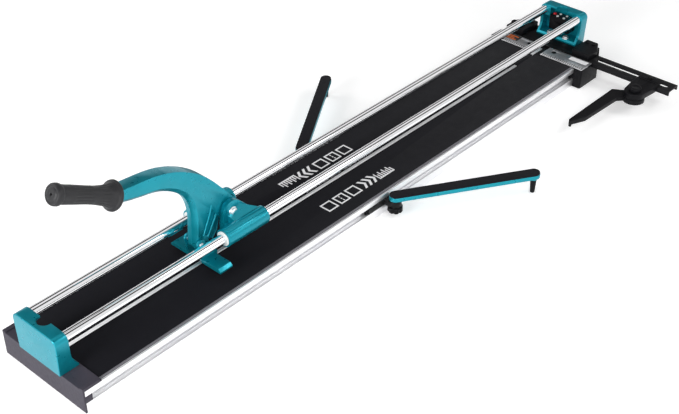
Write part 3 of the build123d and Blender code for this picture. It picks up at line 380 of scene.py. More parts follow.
BLACK_INK = InkFinish("black_print", (0.012, 0.012, 0.014), (0.02, 0.02, 0.022))
ORANGE_INK = InkFinish("orange_print", (0.75, 0.17, 0.03), (0.66, 0.13, 0.02))


class Palette:
    """Every material of the cutter, built once."""

    def __init__(self) -> None:
        """Build the slot finishes and the inks."""
        self.by_slot = {slot: finish.build() for slot, finish in FINISHES.items()}
        self.white = WHITE_INK.build()
        self.black = BLACK_INK.build()
        self.orange = ORANGE_INK.build()

    def of(self, slot: Slot) -> bpy.types.Material:
        """Return the material of a record slot."""
        return self.by_slot[slot]


# --------------------------------------------------------------------------- mesh tools
class Shapes:
    """Mesh builders that return a BMesh in metres from sizes in millimetres."""

    @staticmethod
    def prism(outline: Sequence[Point2], low: float, high: float) -> bmesh.types.BMesh:
        """Extrude a plan outline upwards.

        Args:
            outline: Corners in order, anticlockwise seen from above.
            low: Bottom height.
            high: Top height.

        Returns:
            The closed prism.
        """
        bm = bmesh.new()
        floor = [bm.verts.new((x * MM, y * MM, low * MM)) for x, y in outline]
        roof = [bm.verts.new((x * MM, y * MM, high * MM)) for x, y in outline]
        bm.faces.new(list(reversed(floor)))
        bm.faces.new(roof)
        count = len(outline)
        for i in range(count):
            j = (i + 1) % count
            bm.faces.new((floor[i], floor[j], roof[j], roof[i]))
        return bm

    @staticmethod
    def block(low: Point3, high: Point3) -> bmesh.types.BMesh:
        """Return a box between two corners."""
        outline = [(low[0], low[1]), (high[0], low[1]), (high[0], high[1]), (low[0], high[1])]
        return Shapes.prism(outline, low[2], high[2])

    @staticmethod
    def lathe(profile: Sequence[Point2], origin: Point3, axis: Point3, turns: int = 64,
              shape: Optional[Callable[[float, float], float]] = None,
              shape_from: float = 0.0) -> bmesh.types.BMesh:
        """Turn a profile about an axis.

        Args:
            profile: Pairs of distance along the axis and radius; zero radius closes an end.
            origin: A point on the axis.
            axis: The axis direction.
            turns: Facets around.
            shape: Optional radius change for an angle and a distance along.
            shape_from: Smallest radius that the change applies to, so that a bore stays round.

        Returns:
            The turned surface, closed where the profile ends on the axis or where it began.
        """
        bm = bmesh.new()
        along = Vector(axis).normalized()
        turn = Vector((0, 0, 1)).rotation_difference(along).to_matrix()
        rings: list[list[bmesh.types.BMVert]] = []
        for distance, radius in profile:
            centre = Vector(origin) + along * distance
            if radius < 1e-6:
                rings.append([bm.verts.new(centre * MM)])
                continue
            ring = []
            for step in range(turns):
                angle = 2 * math.pi * step / turns
                reach = radius + (shape(angle, distance) if shape and radius >= shape_from else 0.0)
                ring.append(bm.verts.new((centre + turn @ Vector((math.cos(angle), math.sin(angle),
                                                                  0)) * reach) * MM))
            rings.append(ring)
        for first, second in zip(rings, rings[1:]):
            for step in range(turns):
                after = (step + 1) % turns
                if len(first) == 1:
                    bm.faces.new((first[0], second[after], second[step]))
                elif len(second) == 1:
                    bm.faces.new((first[step], first[after], second[0]))
                else:
                    bm.faces.new((first[step], first[after], second[after], second[step]))
        if profile[0] == profile[-1]:
            bmesh.ops.remove_doubles(bm, verts=bm.verts, dist=1e-7)
        bmesh.ops.recalc_face_normals(bm, faces=bm.faces)
        return bm

    @staticmethod
    def bar(points: Sequence[Point3], radius: float, turns: int = 12) -> bmesh.types.BMesh:
        """Return a round bar with closed ends through the given points."""
        bm = bmesh.new()
        path = [Vector(p) for p in points]
        rings = []
        for i, point in enumerate(path):
            before = path[max(i - 1, 0)]
            after = path[min(i + 1, len(path) - 1)]
            turn = Vector((0, 0, 1)).rotation_difference((after - before).normalized()).to_matrix()
            rings.append([bm.verts.new((point + turn @ Vector((math.cos(a), math.sin(a), 0)) * radius) * MM)
                          for a in (2 * math.pi * k / turns for k in range(turns))])
        for first, second in zip(rings, rings[1:]):
            for k in range(turns):
                j = (k + 1) % turns
                bm.faces.new((first[k], first[j], second[j], second[k]))
        bm.faces.new(list(reversed(rings[0])))
        bm.faces.new(rings[-1])
        bmesh.ops.recalc_face_normals(bm, faces=bm.faces)
        return bm

    @staticmethod
    def joined(parts: Iterable[bmesh.types.BMesh]) -> bmesh.types.BMesh:
        """Gather several meshes into one, freeing the originals."""
        whole = bmesh.new()
        for part in parts:
            scratch = bpy.data.meshes.new("scratch")
            part.to_mesh(scratch)
            part.free()
            whole.from_mesh(scratch)
            bpy.data.meshes.remove(scratch)
        bmesh.ops.recalc_face_normals(whole, faces=whole.faces)
        return whole


class PieceMaker:
    """Turns meshes into finished pieces that ride on the frame's bodies."""

    def __init__(self, palette: Palette) -> None:
        """Keep the palette and read the record's bodies and slots.

        Args:
            palette: The cutter's materials.
        """
        record = frame["record"]
        self.palette = palette
        self.slot_of = {row["node"]: Slot(row["material_slot"]) for row in record["subparts"]}
        self.body_of = {node: body for body, nodes in record["behaviour"]["bodies"].items() for node in nodes}

    def dress_frame(self) -> None:
        """Give every CAD node the finish of its slot."""
        for name, obj in frame["nodes"].items():
            for entry in obj.material_slots:
                entry.material = self.palette.of(self.slot_of[name])

    def piece(self, name: str, bm: bmesh.types.BMesh, body: str, slot: Slot,
              material: Optional[bpy.types.Material] = None, bevel: float = 0.0, segments: int = 2,
              stands_for: Sequence[str] = (), angle: float = 30.0) -> bpy.types.Object:
        """Finish a mesh as a piece of the cutter.

        Args:
            name: The piece's name.
            bm: Its mesh in metres; freed here.
            body: The body it rides on.
            slot: The record slot of its finish.
            material: Another material than the slot's, such as an ink.
            bevel: Width of its softened edges in millimetres, or zero for none.
            segments: Steps across a softened edge.
            stands_for: CAD nodes it replaces.
            angle: Edges sharper than this many degrees are softened.

        Returns:
            The piece's object.
        """
        mesh = bpy.data.meshes.new(name)
        bm.to_mesh(mesh)
        bm.free()
        return self.piece_from_mesh(name, mesh, body, slot, material, bevel, segments, stands_for, angle)

    def piece_from_mesh(self, name: str, mesh: bpy.types.Mesh, body: str, slot: Slot,
                        material: Optional[bpy.types.Material] = None, bevel: float = 0.0,
                        segments: int = 2, stands_for: Sequence[str] = (),
                        angle: float = 30.0) -> bpy.types.Object:
        """Finish a ready mesh as a piece; see piece() for the arguments."""
        mesh.materials.clear()
        mesh.materials.append(material or self.palette.of(slot))
        for face in mesh.polygons:
            face.use_smooth = True
            face.material_index = 0
        obj = linked(name, mesh)
        if bevel > 0:
            soft = obj.modifiers.new("soft_edges", "BEVEL")
            soft.width = bevel * MM
            soft.segments = segments
            soft.limit_method = "ANGLE"
            soft.angle_limit = math.radians(angle)
            soft.harden_normals = True
            soft.miter_outer = "MITER_ARC"
        else:
            mesh.set_sharp_from_angle(angle=math.radians(angle))
        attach(obj, body)
        if stands_for:
            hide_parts(*stands_for)
        LOG.info("piece %s on %s, %d faces", name, body, len(mesh.polygons))
        return obj

    def softened(self, node: str, bevel: float, segments: int = 2, angle: float = 30.0,
                 slot: Optional[Slot] = None, carve: Sequence[bmesh.types.BMesh] = ()) -> bpy.types.Object:
        """Replace a CAD node with a copy whose edges are rounded over.

        Args:
            node: The CAD node.
            bevel: Width of the rounding in millimetres.
            segments: Steps across it.
            angle: Edges sharper than this many degrees are rounded.
            slot: Another record slot than the node's own.
            carve: Closed meshes to cut out of the copy; freed here.

        Returns:
            The new piece, named after the node.
        """
        bm = bmesh.new()
        bm.from_mesh(frame["nodes"][node].data)
        bmesh.ops.remove_doubles(bm, verts=bm.verts, dist=2e-6)
        bmesh.ops.dissolve_degenerate(bm, dist=1e-6, edges=bm.edges)
        for cutter in carve:
            bm = self.cut(bm, cutter)
        bmesh.ops.dissolve_limit(bm, angle_limit=math.radians(0.6), verts=bm.verts, edges=bm.edges)
        return self.piece(f"{node}.finished", bm, self.body_of[node], slot or self.slot_of[node], None, bevel,
                          segments, (node,), angle)

    @staticmethod
    def cut(bm: bmesh.types.BMesh, cutter: bmesh.types.BMesh) -> bmesh.types.BMesh:
        """Return a mesh with another cut out of it; both are freed."""
        objects = []
        for source in (bm, cutter):
            mesh = bpy.data.meshes.new("stock")
            source.to_mesh(mesh)
            source.free()
            obj = linked("stock", mesh)
            objects.append(obj)
        modifier = objects[0].modifiers.new("cut", "BOOLEAN")
        modifier.operation = "DIFFERENCE"
        modifier.solver = "EXACT"
        modifier.object = objects[1]
        graph = bpy.context.evaluated_depsgraph_get()
        made = bpy.data.meshes.new_from_object(objects[0].evaluated_get(graph), depsgraph=graph)
        result = bmesh.new()
        result.from_mesh(made)
        for obj in objects:
            mesh = obj.data
            bpy.data.objects.remove(obj)
            bpy.data.meshes.remove(mesh)
        bpy.data.meshes.remove(made)
        return result


class GeometryTree(NodeSheet):
    """A geometry node tree with named inputs that ends in Realize Instances and Set Material."""

    def __init__(self, name: str, inputs: dict[str, float]) -> None:
        """Start a tree.

        Args:
            name: The tree's name.
            inputs: Named float inputs with their values.
        """
        self.values = inputs
        self.tree = bpy.data.node_groups.new(name, "GeometryNodeTree")
        face = self.tree.interface
        face.new_socket("Geometry", in_out="INPUT", socket_type="NodeSocketGeometry")
        face.new_socket("Geometry", in_out="OUTPUT", socket_type="NodeSocketGeometry")
        self.ids = {}
        for label, value in inputs.items():
            socket = face.new_socket(label, in_out="INPUT", socket_type="NodeSocketFloat")
            socket.default_value = value
            self.ids[label] = socket.identifier
        self.source = self.tree.nodes.new("NodeGroupInput")
        self.sink = self.tree.nodes.new("NodeGroupOutput")

    def value(self, label: str) -> bpy.types.NodeSocket:
        """Return the output socket of a named input."""
        return self.source.outputs[label]

    def maths(self, operation: str, first: object, second: object) -> bpy.types.NodeSocket:
        """Add a Math node; each operand is a socket or a number."""
        return self.feed(self.node("ShaderNodeMath", operation=operation), first, second)

    def vector(self, x: object, y: object, z: object) -> bpy.types.NodeSocket:
        """Combine three operands, sockets or numbers, into a vector."""
        return self.feed(self.node("ShaderNodeCombineXYZ"), x, y, z)

    def finish(self, geometry: bpy.types.NodeSocket, material: bpy.types.Material) -> None:
        """End the tree in Realize Instances and Set Material."""
        real = self.node("GeometryNodeRealizeInstances")
        paint = self.node("GeometryNodeSetMaterial")
        paint.inputs["Material"].default_value = material
        self.join(geometry, real.inputs["Geometry"])
        self.join(real.outputs["Geometry"], paint.inputs["Geometry"])
        self.join(paint.outputs["Geometry"], self.sink.inputs["Geometry"])

    def grow(self, seeds: Sequence[Point3]) -> bpy.types.Mesh:
        """Run the tree on seed points and return the plain mesh it makes.

        Args:
            seeds: Points in millimetres that the tree starts from.

        Returns:
            A new mesh with no modifier behind it.
        """
        mesh = bpy.data.meshes.new("seeds")
        mesh.from_pydata([tuple(c * MM for c in p) for p in seeds], [], [])
        carrier = linked("carrier", mesh)
        modifier = carrier.modifiers.new("grow", "NODES")
        modifier.node_group = self.tree
        for label, identifier in self.ids.items():
            modifier[identifier] = self.values[label]
        graph = bpy.context.evaluated_depsgraph_get()
        made = bpy.data.meshes.new_from_object(carrier.evaluated_get(graph), depsgraph=graph)
        carrier.modifiers.remove(modifier)
        bpy.data.objects.remove(carrier)
        bpy.data.meshes.remove(mesh)
        return made


@dataclass
class ScrewHeads:
    """A set of like pan heads with a cross recess, all pointing up."""

    radius: float
    height: float
    facets: int = 36
    blade_length: float = 1.25
    blade_width: float = 0.26
    blade_depth: float = 0.9

    def mesh(self, seats: Sequence[Point3], material: bpy.types.Material) -> bpy.types.Mesh:
        """Return the heads as one mesh.

        Args:
            seats: Centres of the seats, in millimetres.
            material: Their finish.

        Returns:
            The realised mesh.
        """
        tree = GeometryTree("screw_heads", {"Head Radius": self.radius * MM, "Head Height": self.height * MM})
        drum = tree.node("GeometryNodeMeshCylinder")
        drum.inputs["Vertices"].default_value = self.facets
        drum.inputs["Side Segments"].default_value = 1
        tree.join(tree.value("Head Radius"), drum.inputs["Radius"])
        tree.join(tree.value("Head Height"), drum.inputs["Depth"])
        rise = tree.node("GeometryNodeTransform")
        tree.join(drum.outputs["Mesh"], rise.inputs["Geometry"])
        half_height = tree.maths("MULTIPLY", tree.value("Head Height"), 0.5)
        tree.join(tree.vector(0.0, 0.0, half_height), rise.inputs["Translation"])
        cut = tree.node("GeometryNodeMeshBoolean", operation="DIFFERENCE", solver="EXACT")
        cut.inputs["Self Intersection"].default_value = True
        tree.join(rise.outputs["Geometry"], cut.inputs["Mesh 1"])
        long_side = tree.maths("MULTIPLY", tree.value("Head Radius"), self.blade_length)
        short_side = tree.maths("MULTIPLY", tree.value("Head Radius"), self.blade_width)
        depth = tree.maths("MULTIPLY", tree.value("Head Height"), self.blade_depth)
        for width, thickness in ((long_side, short_side), (short_side, long_side)):
            blade = tree.node("GeometryNodeMeshCube")
            tree.join(tree.vector(width, thickness, depth), blade.inputs["Size"])
            lift = tree.node("GeometryNodeTransform")
            tree.join(blade.outputs["Mesh"], lift.inputs["Geometry"])
            tree.join(tree.vector(0.0, 0.0, tree.value("Head Height")), lift.inputs["Translation"])
            tree.join(lift.outputs["Geometry"], cut.inputs["Mesh 2"])
        place = tree.node("GeometryNodeInstanceOnPoints")
        points = tree.node("GeometryNodeMeshToPoints")
        tree.join(tree.source.outputs["Geometry"], points.inputs["Mesh"])
        tree.join(points.outputs["Points"], place.inputs["Points"])
        tree.join(cut.outputs["Mesh"], place.inputs["Instance"])
        tree.finish(place.outputs["Instances"], material)
        return tree.grow(seats)


@dataclass
class Graduations:
    """Printed ticks along Y: short ones, longer every fifth and longest every tenth."""

    pitch: float = 1.0
    width: float = 0.22
    thickness: float = 0.08
    short: float = 3.2
    middle: float = 5.0
    long: float = 7.0

    def mesh(self, start: Point3, count: int, step: int, material: bpy.types.Material) -> bpy.types.Mesh:
        """Return the ticks as one mesh.

        Args:
            start: Place of the first tick's front end, in millimetres.
            count: How many ticks.
            step: +1 or -1, the way they run along Y.
            material: Their ink.

        Returns:
            The realised mesh.
        """
        tree = GeometryTree("graduations", {
            "Pitch": self.pitch * MM * step, "Count": float(count), "Tick Width": self.width * MM,
            "Film": self.thickness * MM, "Short": self.short * MM, "Middle": self.middle * MM,
            "Long": self.long * MM})
        line = tree.node("GeometryNodeMeshLine")
        tree.join(tree.value("Count"), line.inputs["Count"])
        tree.join(tree.vector(0.0, tree.value("Pitch"), 0.0), line.inputs["Offset"])
        index = tree.node("GeometryNodeInputIndex").outputs[0]
        fifth = tree.maths("COMPARE", tree.maths("MODULO", index, 5.0), 0.0)
        tenth = tree.maths("COMPARE", tree.maths("MODULO", index, 10.0), 0.0)
        grow_middle = tree.maths("MULTIPLY", fifth, tree.maths("SUBTRACT", tree.value("Middle"),
                                                               tree.value("Short")))
        grow_long = tree.maths("MULTIPLY", tenth, tree.maths("SUBTRACT", tree.value("Long"),
                                                             tree.value("Middle")))
        reach = tree.maths("ADD", tree.value("Short"), tree.maths("ADD", grow_middle, grow_long))
        cube = tree.node("GeometryNodeMeshCube")
        tree.join(tree.vector(1.0, tree.value("Tick Width"), tree.value("Film")), cube.inputs["Size"])
        shift = tree.node("GeometryNodeTransform")
        shift.inputs["Translation"].default_value = (0.5, 0.0, 0.0)
        tree.join(cube.outputs["Mesh"], shift.inputs["Geometry"])
        place = tree.node("GeometryNodeInstanceOnPoints")
        tree.join(line.outputs["Mesh"], place.inputs["Points"])
        tree.join(shift.outputs["Geometry"], place.inputs["Instance"])
        tree.join(tree.vector(reach, 1.0, 1.0), place.inputs["Scale"])
        move = tree.node("GeometryNodeTransform")
        move.inputs["Translation"].default_value = tuple(c * MM for c in start)
        tree.join(place.outputs["Instances"], move.inputs["Geometry"])
        tree.finish(move.outputs["Geometry"], material)
        return tree.grow([(0, 0, 0)])


# --------------------------------------------------------------------------- studio
@dataclass
class Studio:
    """Pale floor, soft lights and the camera."""

    camera_place: Point3 = (-1.4315, -1.2553, 1.3188)
    camera_aim: Point3 = (0.6036, 0.5432, -0.5836)
    lens: float = 63.57
    floor_half: float = 9.0
    floor_drop: float = 0.0006
    sky: float = 0.62
    sky_gloss: float = 0.16
    sky_bright: float = 1.1
    sky_dark: float = 0.01
    sky_bands: Sequence[Point2] = ((0.576, 0.662), (0.775, 0.835))
    band_fade: float = 0.006
    flag_low: Point2 = (-1.4, 0.24)
    flag_high: Point2 = (1.4, 0.62)
    floor_glow: float = 0.26

    def build(self) -> None:
        """Build the floor, the sky, the lights and the camera."""
        self.build_floor()
        self.build_flag()
        self.build_sky()
        self.build_lights()
        self.build_camera()
        bpy.context.scene.view_settings.view_transform = "Standard"

    def build_floor(self) -> None:
        """Lay the pale floor just under the cutter."""
        mesh = bpy.data.meshes.new("studio_floor")
        h = self.floor_half
        mesh.from_pydata([(-h, -h, -self.floor_drop), (h, -h, -self.floor_drop), (h, h, -self.floor_drop),
                          (-h, h, -self.floor_drop)], [], [(0, 1, 2, 3)])
        floor = linked("studio_floor", mesh)
        sheet = ShaderSheet("studio_paper")
        sheet.colour(3.0, 2.0, (0.93, 0.93, 0.93), (0.95, 0.95, 0.95))
        sheet.fix(Roughness=0.9, Emission_Strength=self.floor_glow)
        sheet.shader.inputs["Emission Color"].default_value = (1.0, 1.0, 1.0, 1.0)
        mesh.materials.append(sheet.material)

    def build_flag(self) -> None:
        """Lay a black flag beside the cutter that only the polished parts see."""
        mesh = bpy.data.meshes.new("studio_flag")
        (near, right), (far, left) = self.flag_low, self.flag_high
        corners = [(near, right, 0.0), (far, right, 0.0), (far, left, 0.0), (near, left, 0.0)]
        mesh.from_pydata(corners, [], [(0, 1, 2, 3)])
        flag = linked("studio_flag", mesh)
        sheet = ShaderSheet("flag_cloth")
        sheet.colour(40.0, 2.0, (0.01, 0.01, 0.01), (0.015, 0.015, 0.015))
        sheet.fix(Roughness=1.0, Specular_IOR_Level=0.0)
        mesh.materials.append(sheet.material)
        flag.visible_camera = False
        flag.visible_diffuse = False
        flag.visible_shadow = False

    def build_sky(self) -> None:
        """Wrap the set in white with a few grey bands that give the rods their lines."""
        world = bpy.data.worlds.new("studio_sky")
        world.use_nodes = True
        sheet = NodeSheet()
        sheet.tree = world.node_tree
        back = next(n for n in sheet.tree.nodes if n.type == "BACKGROUND")
        coords = sheet.node("ShaderNodeTexCoord")
        split = sheet.node("ShaderNodeSeparateXYZ")
        sheet.join(coords.outputs["Generated"], split.inputs["Vector"])
        angle = sheet.feed(sheet.node("ShaderNodeMath", operation="ARCTAN2"), split.outputs["Z"],
                           split.outputs["Y"])
        turn = sheet.feed(sheet.node("ShaderNodeMath", operation="MULTIPLY_ADD"), angle, 0.5 / math.pi, 0.5)
        ramp = sheet.node("ShaderNodeValToRGB")
        sheet.join(turn, ramp.inputs["Fac"])
        bright, dark = ((*(level,) * 3, 1.0) for level in (self.sky_bright, self.sky_dark))
        elements = ramp.color_ramp.elements
        for element, position in zip(elements, (0.5, 1.0)):
            element.position, element.color = position, bright
        for low, high in self.sky_bands:
            for position, colour in ((low - self.band_fade, bright), (low, dark), (high, dark),
                                     (high + self.band_fade, bright)):
                elements.new(position).color = colour
        pick = sheet.node("ShaderNodeMix", data_type="RGBA")
        pick.inputs[7].default_value = (1.0, 1.0, 1.0, 1.0)
        path = sheet.node("ShaderNodeLightPath")
        sheet.join(path.outputs["Is Camera Ray"], pick.inputs[0])
        sheet.join(ramp.outputs["Color"], pick.inputs[6])
        sheet.join(pick.outputs[2], back.inputs["Color"])
        lift = sheet.feed(sheet.node("ShaderNodeMath", operation="MULTIPLY_ADD"),
                          path.outputs["Is Glossy Ray"], self.sky_gloss, self.sky)
        sheet.join(lift, back.inputs["Strength"])
        bpy.context.scene.world = world

    def build_lights(self) -> None:
        """Hang the soft boxes."""
        soft_boxes = [("key_light", (-3.3, -0.2, 1.1), 85.0, 1.5),
                      ("fill_light", (-1.0, -2.4, 1.6), 26.0, 1.6),
                      ("back_light", (-1.2, 2.4, 2.0), 24.0, 1.8),
                      ("streak_light", (0.9, -1.25, 1.4), 7.0, 0.7)]
        for name, place, power, size in soft_boxes:
            data = bpy.data.lights.new(name, "AREA")
            data.energy = power
            data.shape = "SQUARE"
            data.size = size
            lamp = linked(name, data)
            lamp.location = place
            lamp.rotation_euler = (-Vector(place)).to_track_quat("-Z", "Y").to_euler()

    def build_camera(self) -> None:
        """Set the camera up."""
        data = bpy.data.cameras.new("camera")
        data.lens = self.lens
        data.sensor_width = 36.0
        data.clip_start = 0.05
        data.clip_end = 60.0
        camera = linked("camera", data)
        camera.location = self.camera_place
        camera.rotation_euler = Vector(self.camera_aim).to_track_quat("-Z", "Y").to_euler()
        bpy.context.scene.camera = camera


# --------------------------------------------------------------------------- deck
@dataclass
class Deck:
    """Deck beam, side profiles, pads, trims, breaking strip and the end cap."""

    pad_top: float = 44.0
    print_film: float = 0.08
    print_start: float = -136.0
    print_middle: float = 53.0
    tile_side: float = 26.0
    line_width: float = 3.2
    signs: Point3 = (0.0, 33.0, 66.0)
    arrows: Point3 = (100.0, 113.0, 126.0)
    ruler: Point2 = (142.0, 184.0)
    tick_pitch: float = 5.6
    tick_width: float = 2.8
    tick_heights: Point2 = (17.0, 11.0)
    edges: float = 0.5

    def build(self, maker: PieceMaker) -> None:
        """Build the deck's pieces."""
        for node in ("base_beam", "side_extrusion_left", "side_extrusion_right", "deck_pad_left",
                     "deck_pad_right"):
            maker.softened(node, self.edges)
        maker.softened("near_end_cap", 0.9, 3)
        maker.softened("centre_strip", 0.3)
        for side in Side:
            self.build_print(maker, side)

    def build_print(self, maker: PieceMaker, side: Side) -> None:
        """Print a row of plain tile signs on one pad, upright for a person on that side."""
        half, line = self.tile_side / 2, self.line_width
        foot = -half + line
        shapes = [self.outline_sign(side, start) for start in self.signs]
        middle = self.signs[1] + half
        for dash in range(3):
            low = foot + 1.6 + dash * 6.3
            shapes.append(self.bar(side, (middle - 1.2, low, middle + 1.2, low + 4.0)))
        start, end = self.ruler
        comb = [(start, -half), (end, -half), (end, foot)]
        for tick in reversed(range(8)):
            tip = foot + self.tick_heights[tick % 2]
            left = start + tick * self.tick_pitch
            right = start + self.tick_width + tick * self.tick_pitch
            comb += [(right, foot), (right, tip), (left, tip)] + ([(left, foot)] if tick else [])
        shapes.append(Shapes.prism([self.place(side, *p) for p in comb], self.pad_top - SINK,
                                   self.pad_top + self.print_film))
        shapes += [self.chevron(side, start) for start in self.arrows]
        maker.piece(f"pad_print_{side.word}", Shapes.joined(shapes), "base", Slot.PAD_RUBBER,
                    maker.palette.white)

    def outline_sign(self, side: Side, start: float) -> bmesh.types.BMesh:
        """Return one printed square outline as a closed ring."""
        bm = bmesh.new()
        half, line = self.tile_side / 2, self.line_width
        levels = (self.pad_top - SINK, self.pad_top + self.print_film)
        loops = []
        for inset in (0.0, line):
            low, high = start + inset, start + self.tile_side - inset
            corners = [(low, -half + inset), (high, -half + inset), (high, half - inset), (low, half - inset)]
            for level in levels:
                loops.append([bm.verts.new(Vector((*self.place(side, *c), level)) * MM) for c in corners])
        outer_low, outer_high, inner_low, inner_high = loops
        for first, second in ((outer_low, outer_high), (outer_high, inner_high), (inner_high, inner_low),
                              (inner_low, outer_low)):
            for i in range(4):
                j = (i + 1) % 4
                bm.faces.new((first[i], first[j], second[j], second[i]))
        return bm

    def bar(self, side: Side, box: tuple[float, float, float, float]) -> bmesh.types.BMesh:
        """Return one printed bar."""
        low, high = self.place(side, box[0], box[1]), self.place(side, box[2], box[3])
        corners = (min(low[0], high[0]), min(low[1], high[1])), (max(low[0], high[0]), max(low[1], high[1]))
        return Shapes.block((*corners[0], self.pad_top - SINK), (*corners[1], self.pad_top + self.print_film))

    def chevron(self, side: Side, start: float) -> bmesh.types.BMesh:
        """Return one printed arrow head."""
        half = self.tile_side / 2
        outline = [(start, -half), (start + 6.0, -half), (start + 14.0, 0.0), (start + 6.0, half),
                   (start, half), (start + 8.0, 0.0)]
        return Shapes.prism([self.place(side, *p) for p in outline], self.pad_top - SINK,
                            self.pad_top + self.print_film)

    def place(self, side: Side, along: float, across: float) -> Point2:
        """Return the plan point of a place on the print."""
        if side is Side.RIGHT:
            return self.print_start + along, -self.print_middle + across
        return self.print_start + self.ruler[1] - along, self.print_middle - across


# --------------------------------------------------------------------------- rails and brackets
@dataclass
class RailFrame:
    """The two chromed rails, their brackets and the bolts."""

    rail_radius: float = 9.0
    rail_y: float = 41.6
    rail_z: float = 105.0
    rail_end: float = 722.5
    bolt_x: float = 699.5
    bolt_y: float = 20.7
    seat: float = 54.0

    def build(self, maker: PieceMaker) -> None:
        """Build rails, brackets and bolts."""
        radius, end = self.rail_radius, self.rail_end
        profile = [(0.0, 0.0), (0.0, radius - 1.0), (1.0, radius), (2 * end - 1.0, radius),
                   (2 * end, radius - 1.0), (2 * end, 0.0)]
        for side in Side:
            bm = Shapes.lathe(profile, (-end, side.value * self.rail_y, self.rail_z), (1, 0, 0), 96)
            maker.piece(f"rail_{side.word}.finished", bm, "base", Slot.CHROME,
                        stands_for=(f"rail_{side.word}",))
        maker.softened("near_bracket", 1.3, 4)
        maker.softened("far_bracket", 1.3, 4)
        self.build_bolts(maker)

    def build_bolts(self, maker: PieceMaker) -> None:
        """Build flanged hexagon bolts in place of the plain ones."""
        parts = []
        washer = [(0.0, 0.0), (0.0, 7.4), (0.5, 7.7), (1.1, 7.4), (1.3, 6.0), (1.3, 0.0)]
        shank = [(-30.0, 0.0), (-30.0, 3.2), (-29.0, 4.0), (0.2, 4.0), (0.2, 0.0)]
        for end in (-1, 1):
            for side in Side:
                spot = (end * self.bolt_x, side.value * self.bolt_y, self.seat)
                parts.append(Shapes.lathe(washer, spot, (0, 0, 1), 40))
                parts.append(Shapes.lathe(shank, spot, (0, 0, 1), 24))
                parts.append(self.hexagon(spot))
        maker.piece("bracket_bolts.finished", Shapes.joined(parts), "base", Slot.STEEL, None, 0.35, 2,
                    ("bracket_bolts",))

    @staticmethod
    def hexagon(spot: Point3) -> bmesh.types.BMesh:
        """Return a hexagon head with a dished top."""
        rings = [(1.2, 6.3), (4.8, 6.3), (5.6, 5.4), (5.6, 4.0), (5.1, 3.4)]
        bm = bmesh.new()
        loops = []
        for height, radius in rings:
            loops.append([bm.verts.new(((spot[0] + radius * math.cos(k * math.pi / 3)) * MM,
                                        (spot[1] + radius * math.sin(k * math.pi / 3)) * MM,
                                        (spot[2] + height) * MM)) for k in range(6)])
        for first, second in zip(loops, loops[1:]):
            for k in range(6):
                j = (k + 1) % 6
                bm.faces.new((first[k], first[j], second[j], second[k]))
        bm.faces.new(list(reversed(loops[0])))
        bm.faces.new(loops[-1])
        return bm


# --------------------------------------------------------------------------- carriage
@dataclass
class Carriage:
    """The sliding casting, its webs, sleeve ribs and the pivot bolt."""

    front: float = -373.0
    rear: float = -279.0
    sleeve_y: float = 41.6
    sleeve_z: float = 105.0
    sleeve_radius: float = 16.5
    web_bore: float = 13.5
    pivot: Point2 = (-329.0, 128.0)

    def build(self, maker: PieceMaker) -> None:
        """Build the carriage's pieces."""
        maker.softened("carriage_casting", 0.9, 3)
        self.build_pivot_bolt(maker)
        maker.softened("pivot_nut", 0.4)
        maker.softened("rail_bushes", 0.3)
        webs = [self.web(side) for side in Side]
        maker.piece("carriage_webs", Shapes.joined(webs), "carriage", Slot.TEAL, None, 0.8, 3)
        ribs = [rib for side in Side for rib in self.sleeve_ribs(side)]
        maker.piece("sleeve_ribs", Shapes.joined(ribs), "carriage", Slot.TEAL, None, 0.7, 2)

    def build_pivot_bolt(self, maker: PieceMaker) -> None:
        """Build the pivot bolt with a flanged, dished head."""
        profile = [(-25.0, 0.0), (-25.4, 2.6), (-24.4, 3.4), (-26.2, 4.6), (-26.2, 5.6), (-25.4, 6.6),
                   (-22.2, 7.2), (-21.6, 8.6), (-20.8, 8.9), (-20.05, 8.6), (-20.05, 5.0), (27.0, 5.0),
                   (28.0, 4.0), (28.0, 0.0)]
        bm = Shapes.lathe(profile, (self.pivot[0], 0.0, self.pivot[1]), (0, 1, 0), 48)
        maker.piece("pivot_bolt.finished", bm, "carriage", Slot.STEEL, stands_for=("pivot_bolt",))

    def web(self, side: Side) -> bmesh.types.BMesh:
        """Return the sloping plate between an ear and its sleeve."""
        s = side.value
        top = [(self.pivot[0] - 12.0, s * 19.6, 124.0), (self.pivot[0] + 13.5, s * 19.6, 138.0),
               (self.rear - 6.0, s * 19.6, 112.5), (self.rear - 1.0, s * 38.0, 119.0),
               (self.front + 34.0, s * 38.0, 119.5)]
        bm = bmesh.new()
        upper = [bm.verts.new(Vector(p) * MM) for p in top]
        lower = [bm.verts.new(Vector((p[0], p[1], 106.0)) * MM) for p in top]
        bm.faces.new(upper)
        bm.faces.new(list(reversed(lower)))
        for i in range(len(top)):
            j = (i + 1) % len(top)
            bm.faces.new((upper[i], lower[i], lower[j], upper[j]))
        bmesh.ops.recalc_face_normals(bm, faces=bm.faces)
        length = self.rear - self.front + 20.0
        bore = Shapes.lathe([(0.0, 0.0), (0.0, self.web_bore), (length, self.web_bore), (length, 0.0)],
                            (self.front - 10.0, s * self.sleeve_y, self.sleeve_z), (1, 0, 0), 64)
        return PieceMaker.cut(bm, bore)

    def sleeve_ribs(self, side: Side) -> list[bmesh.types.BMesh]:
        """Return the raised strips along one sleeve."""
        ribs = []
        for degrees in (38.0, 68.0, 98.0):
            turn = math.radians(degrees if side is Side.LEFT else 180.0 - degrees)
            y = side.value * self.sleeve_y + (self.sleeve_radius - 0.6) * math.cos(turn)
            z = self.sleeve_z + (self.sleeve_radius - 0.6) * math.sin(turn)
            rib = Shapes.block((self.front + 3.0, -2.4, -1.2), (self.rear - 3.0, 2.4, 1.6))
            matrix = Matrix.Translation((0, y * MM, z * MM)) @ Matrix.Rotation(turn - math.pi / 2, 4, "X")
            bmesh.ops.transform(rib, matrix=matrix, verts=rib.verts)
            ribs.append(rib)
        return ribs


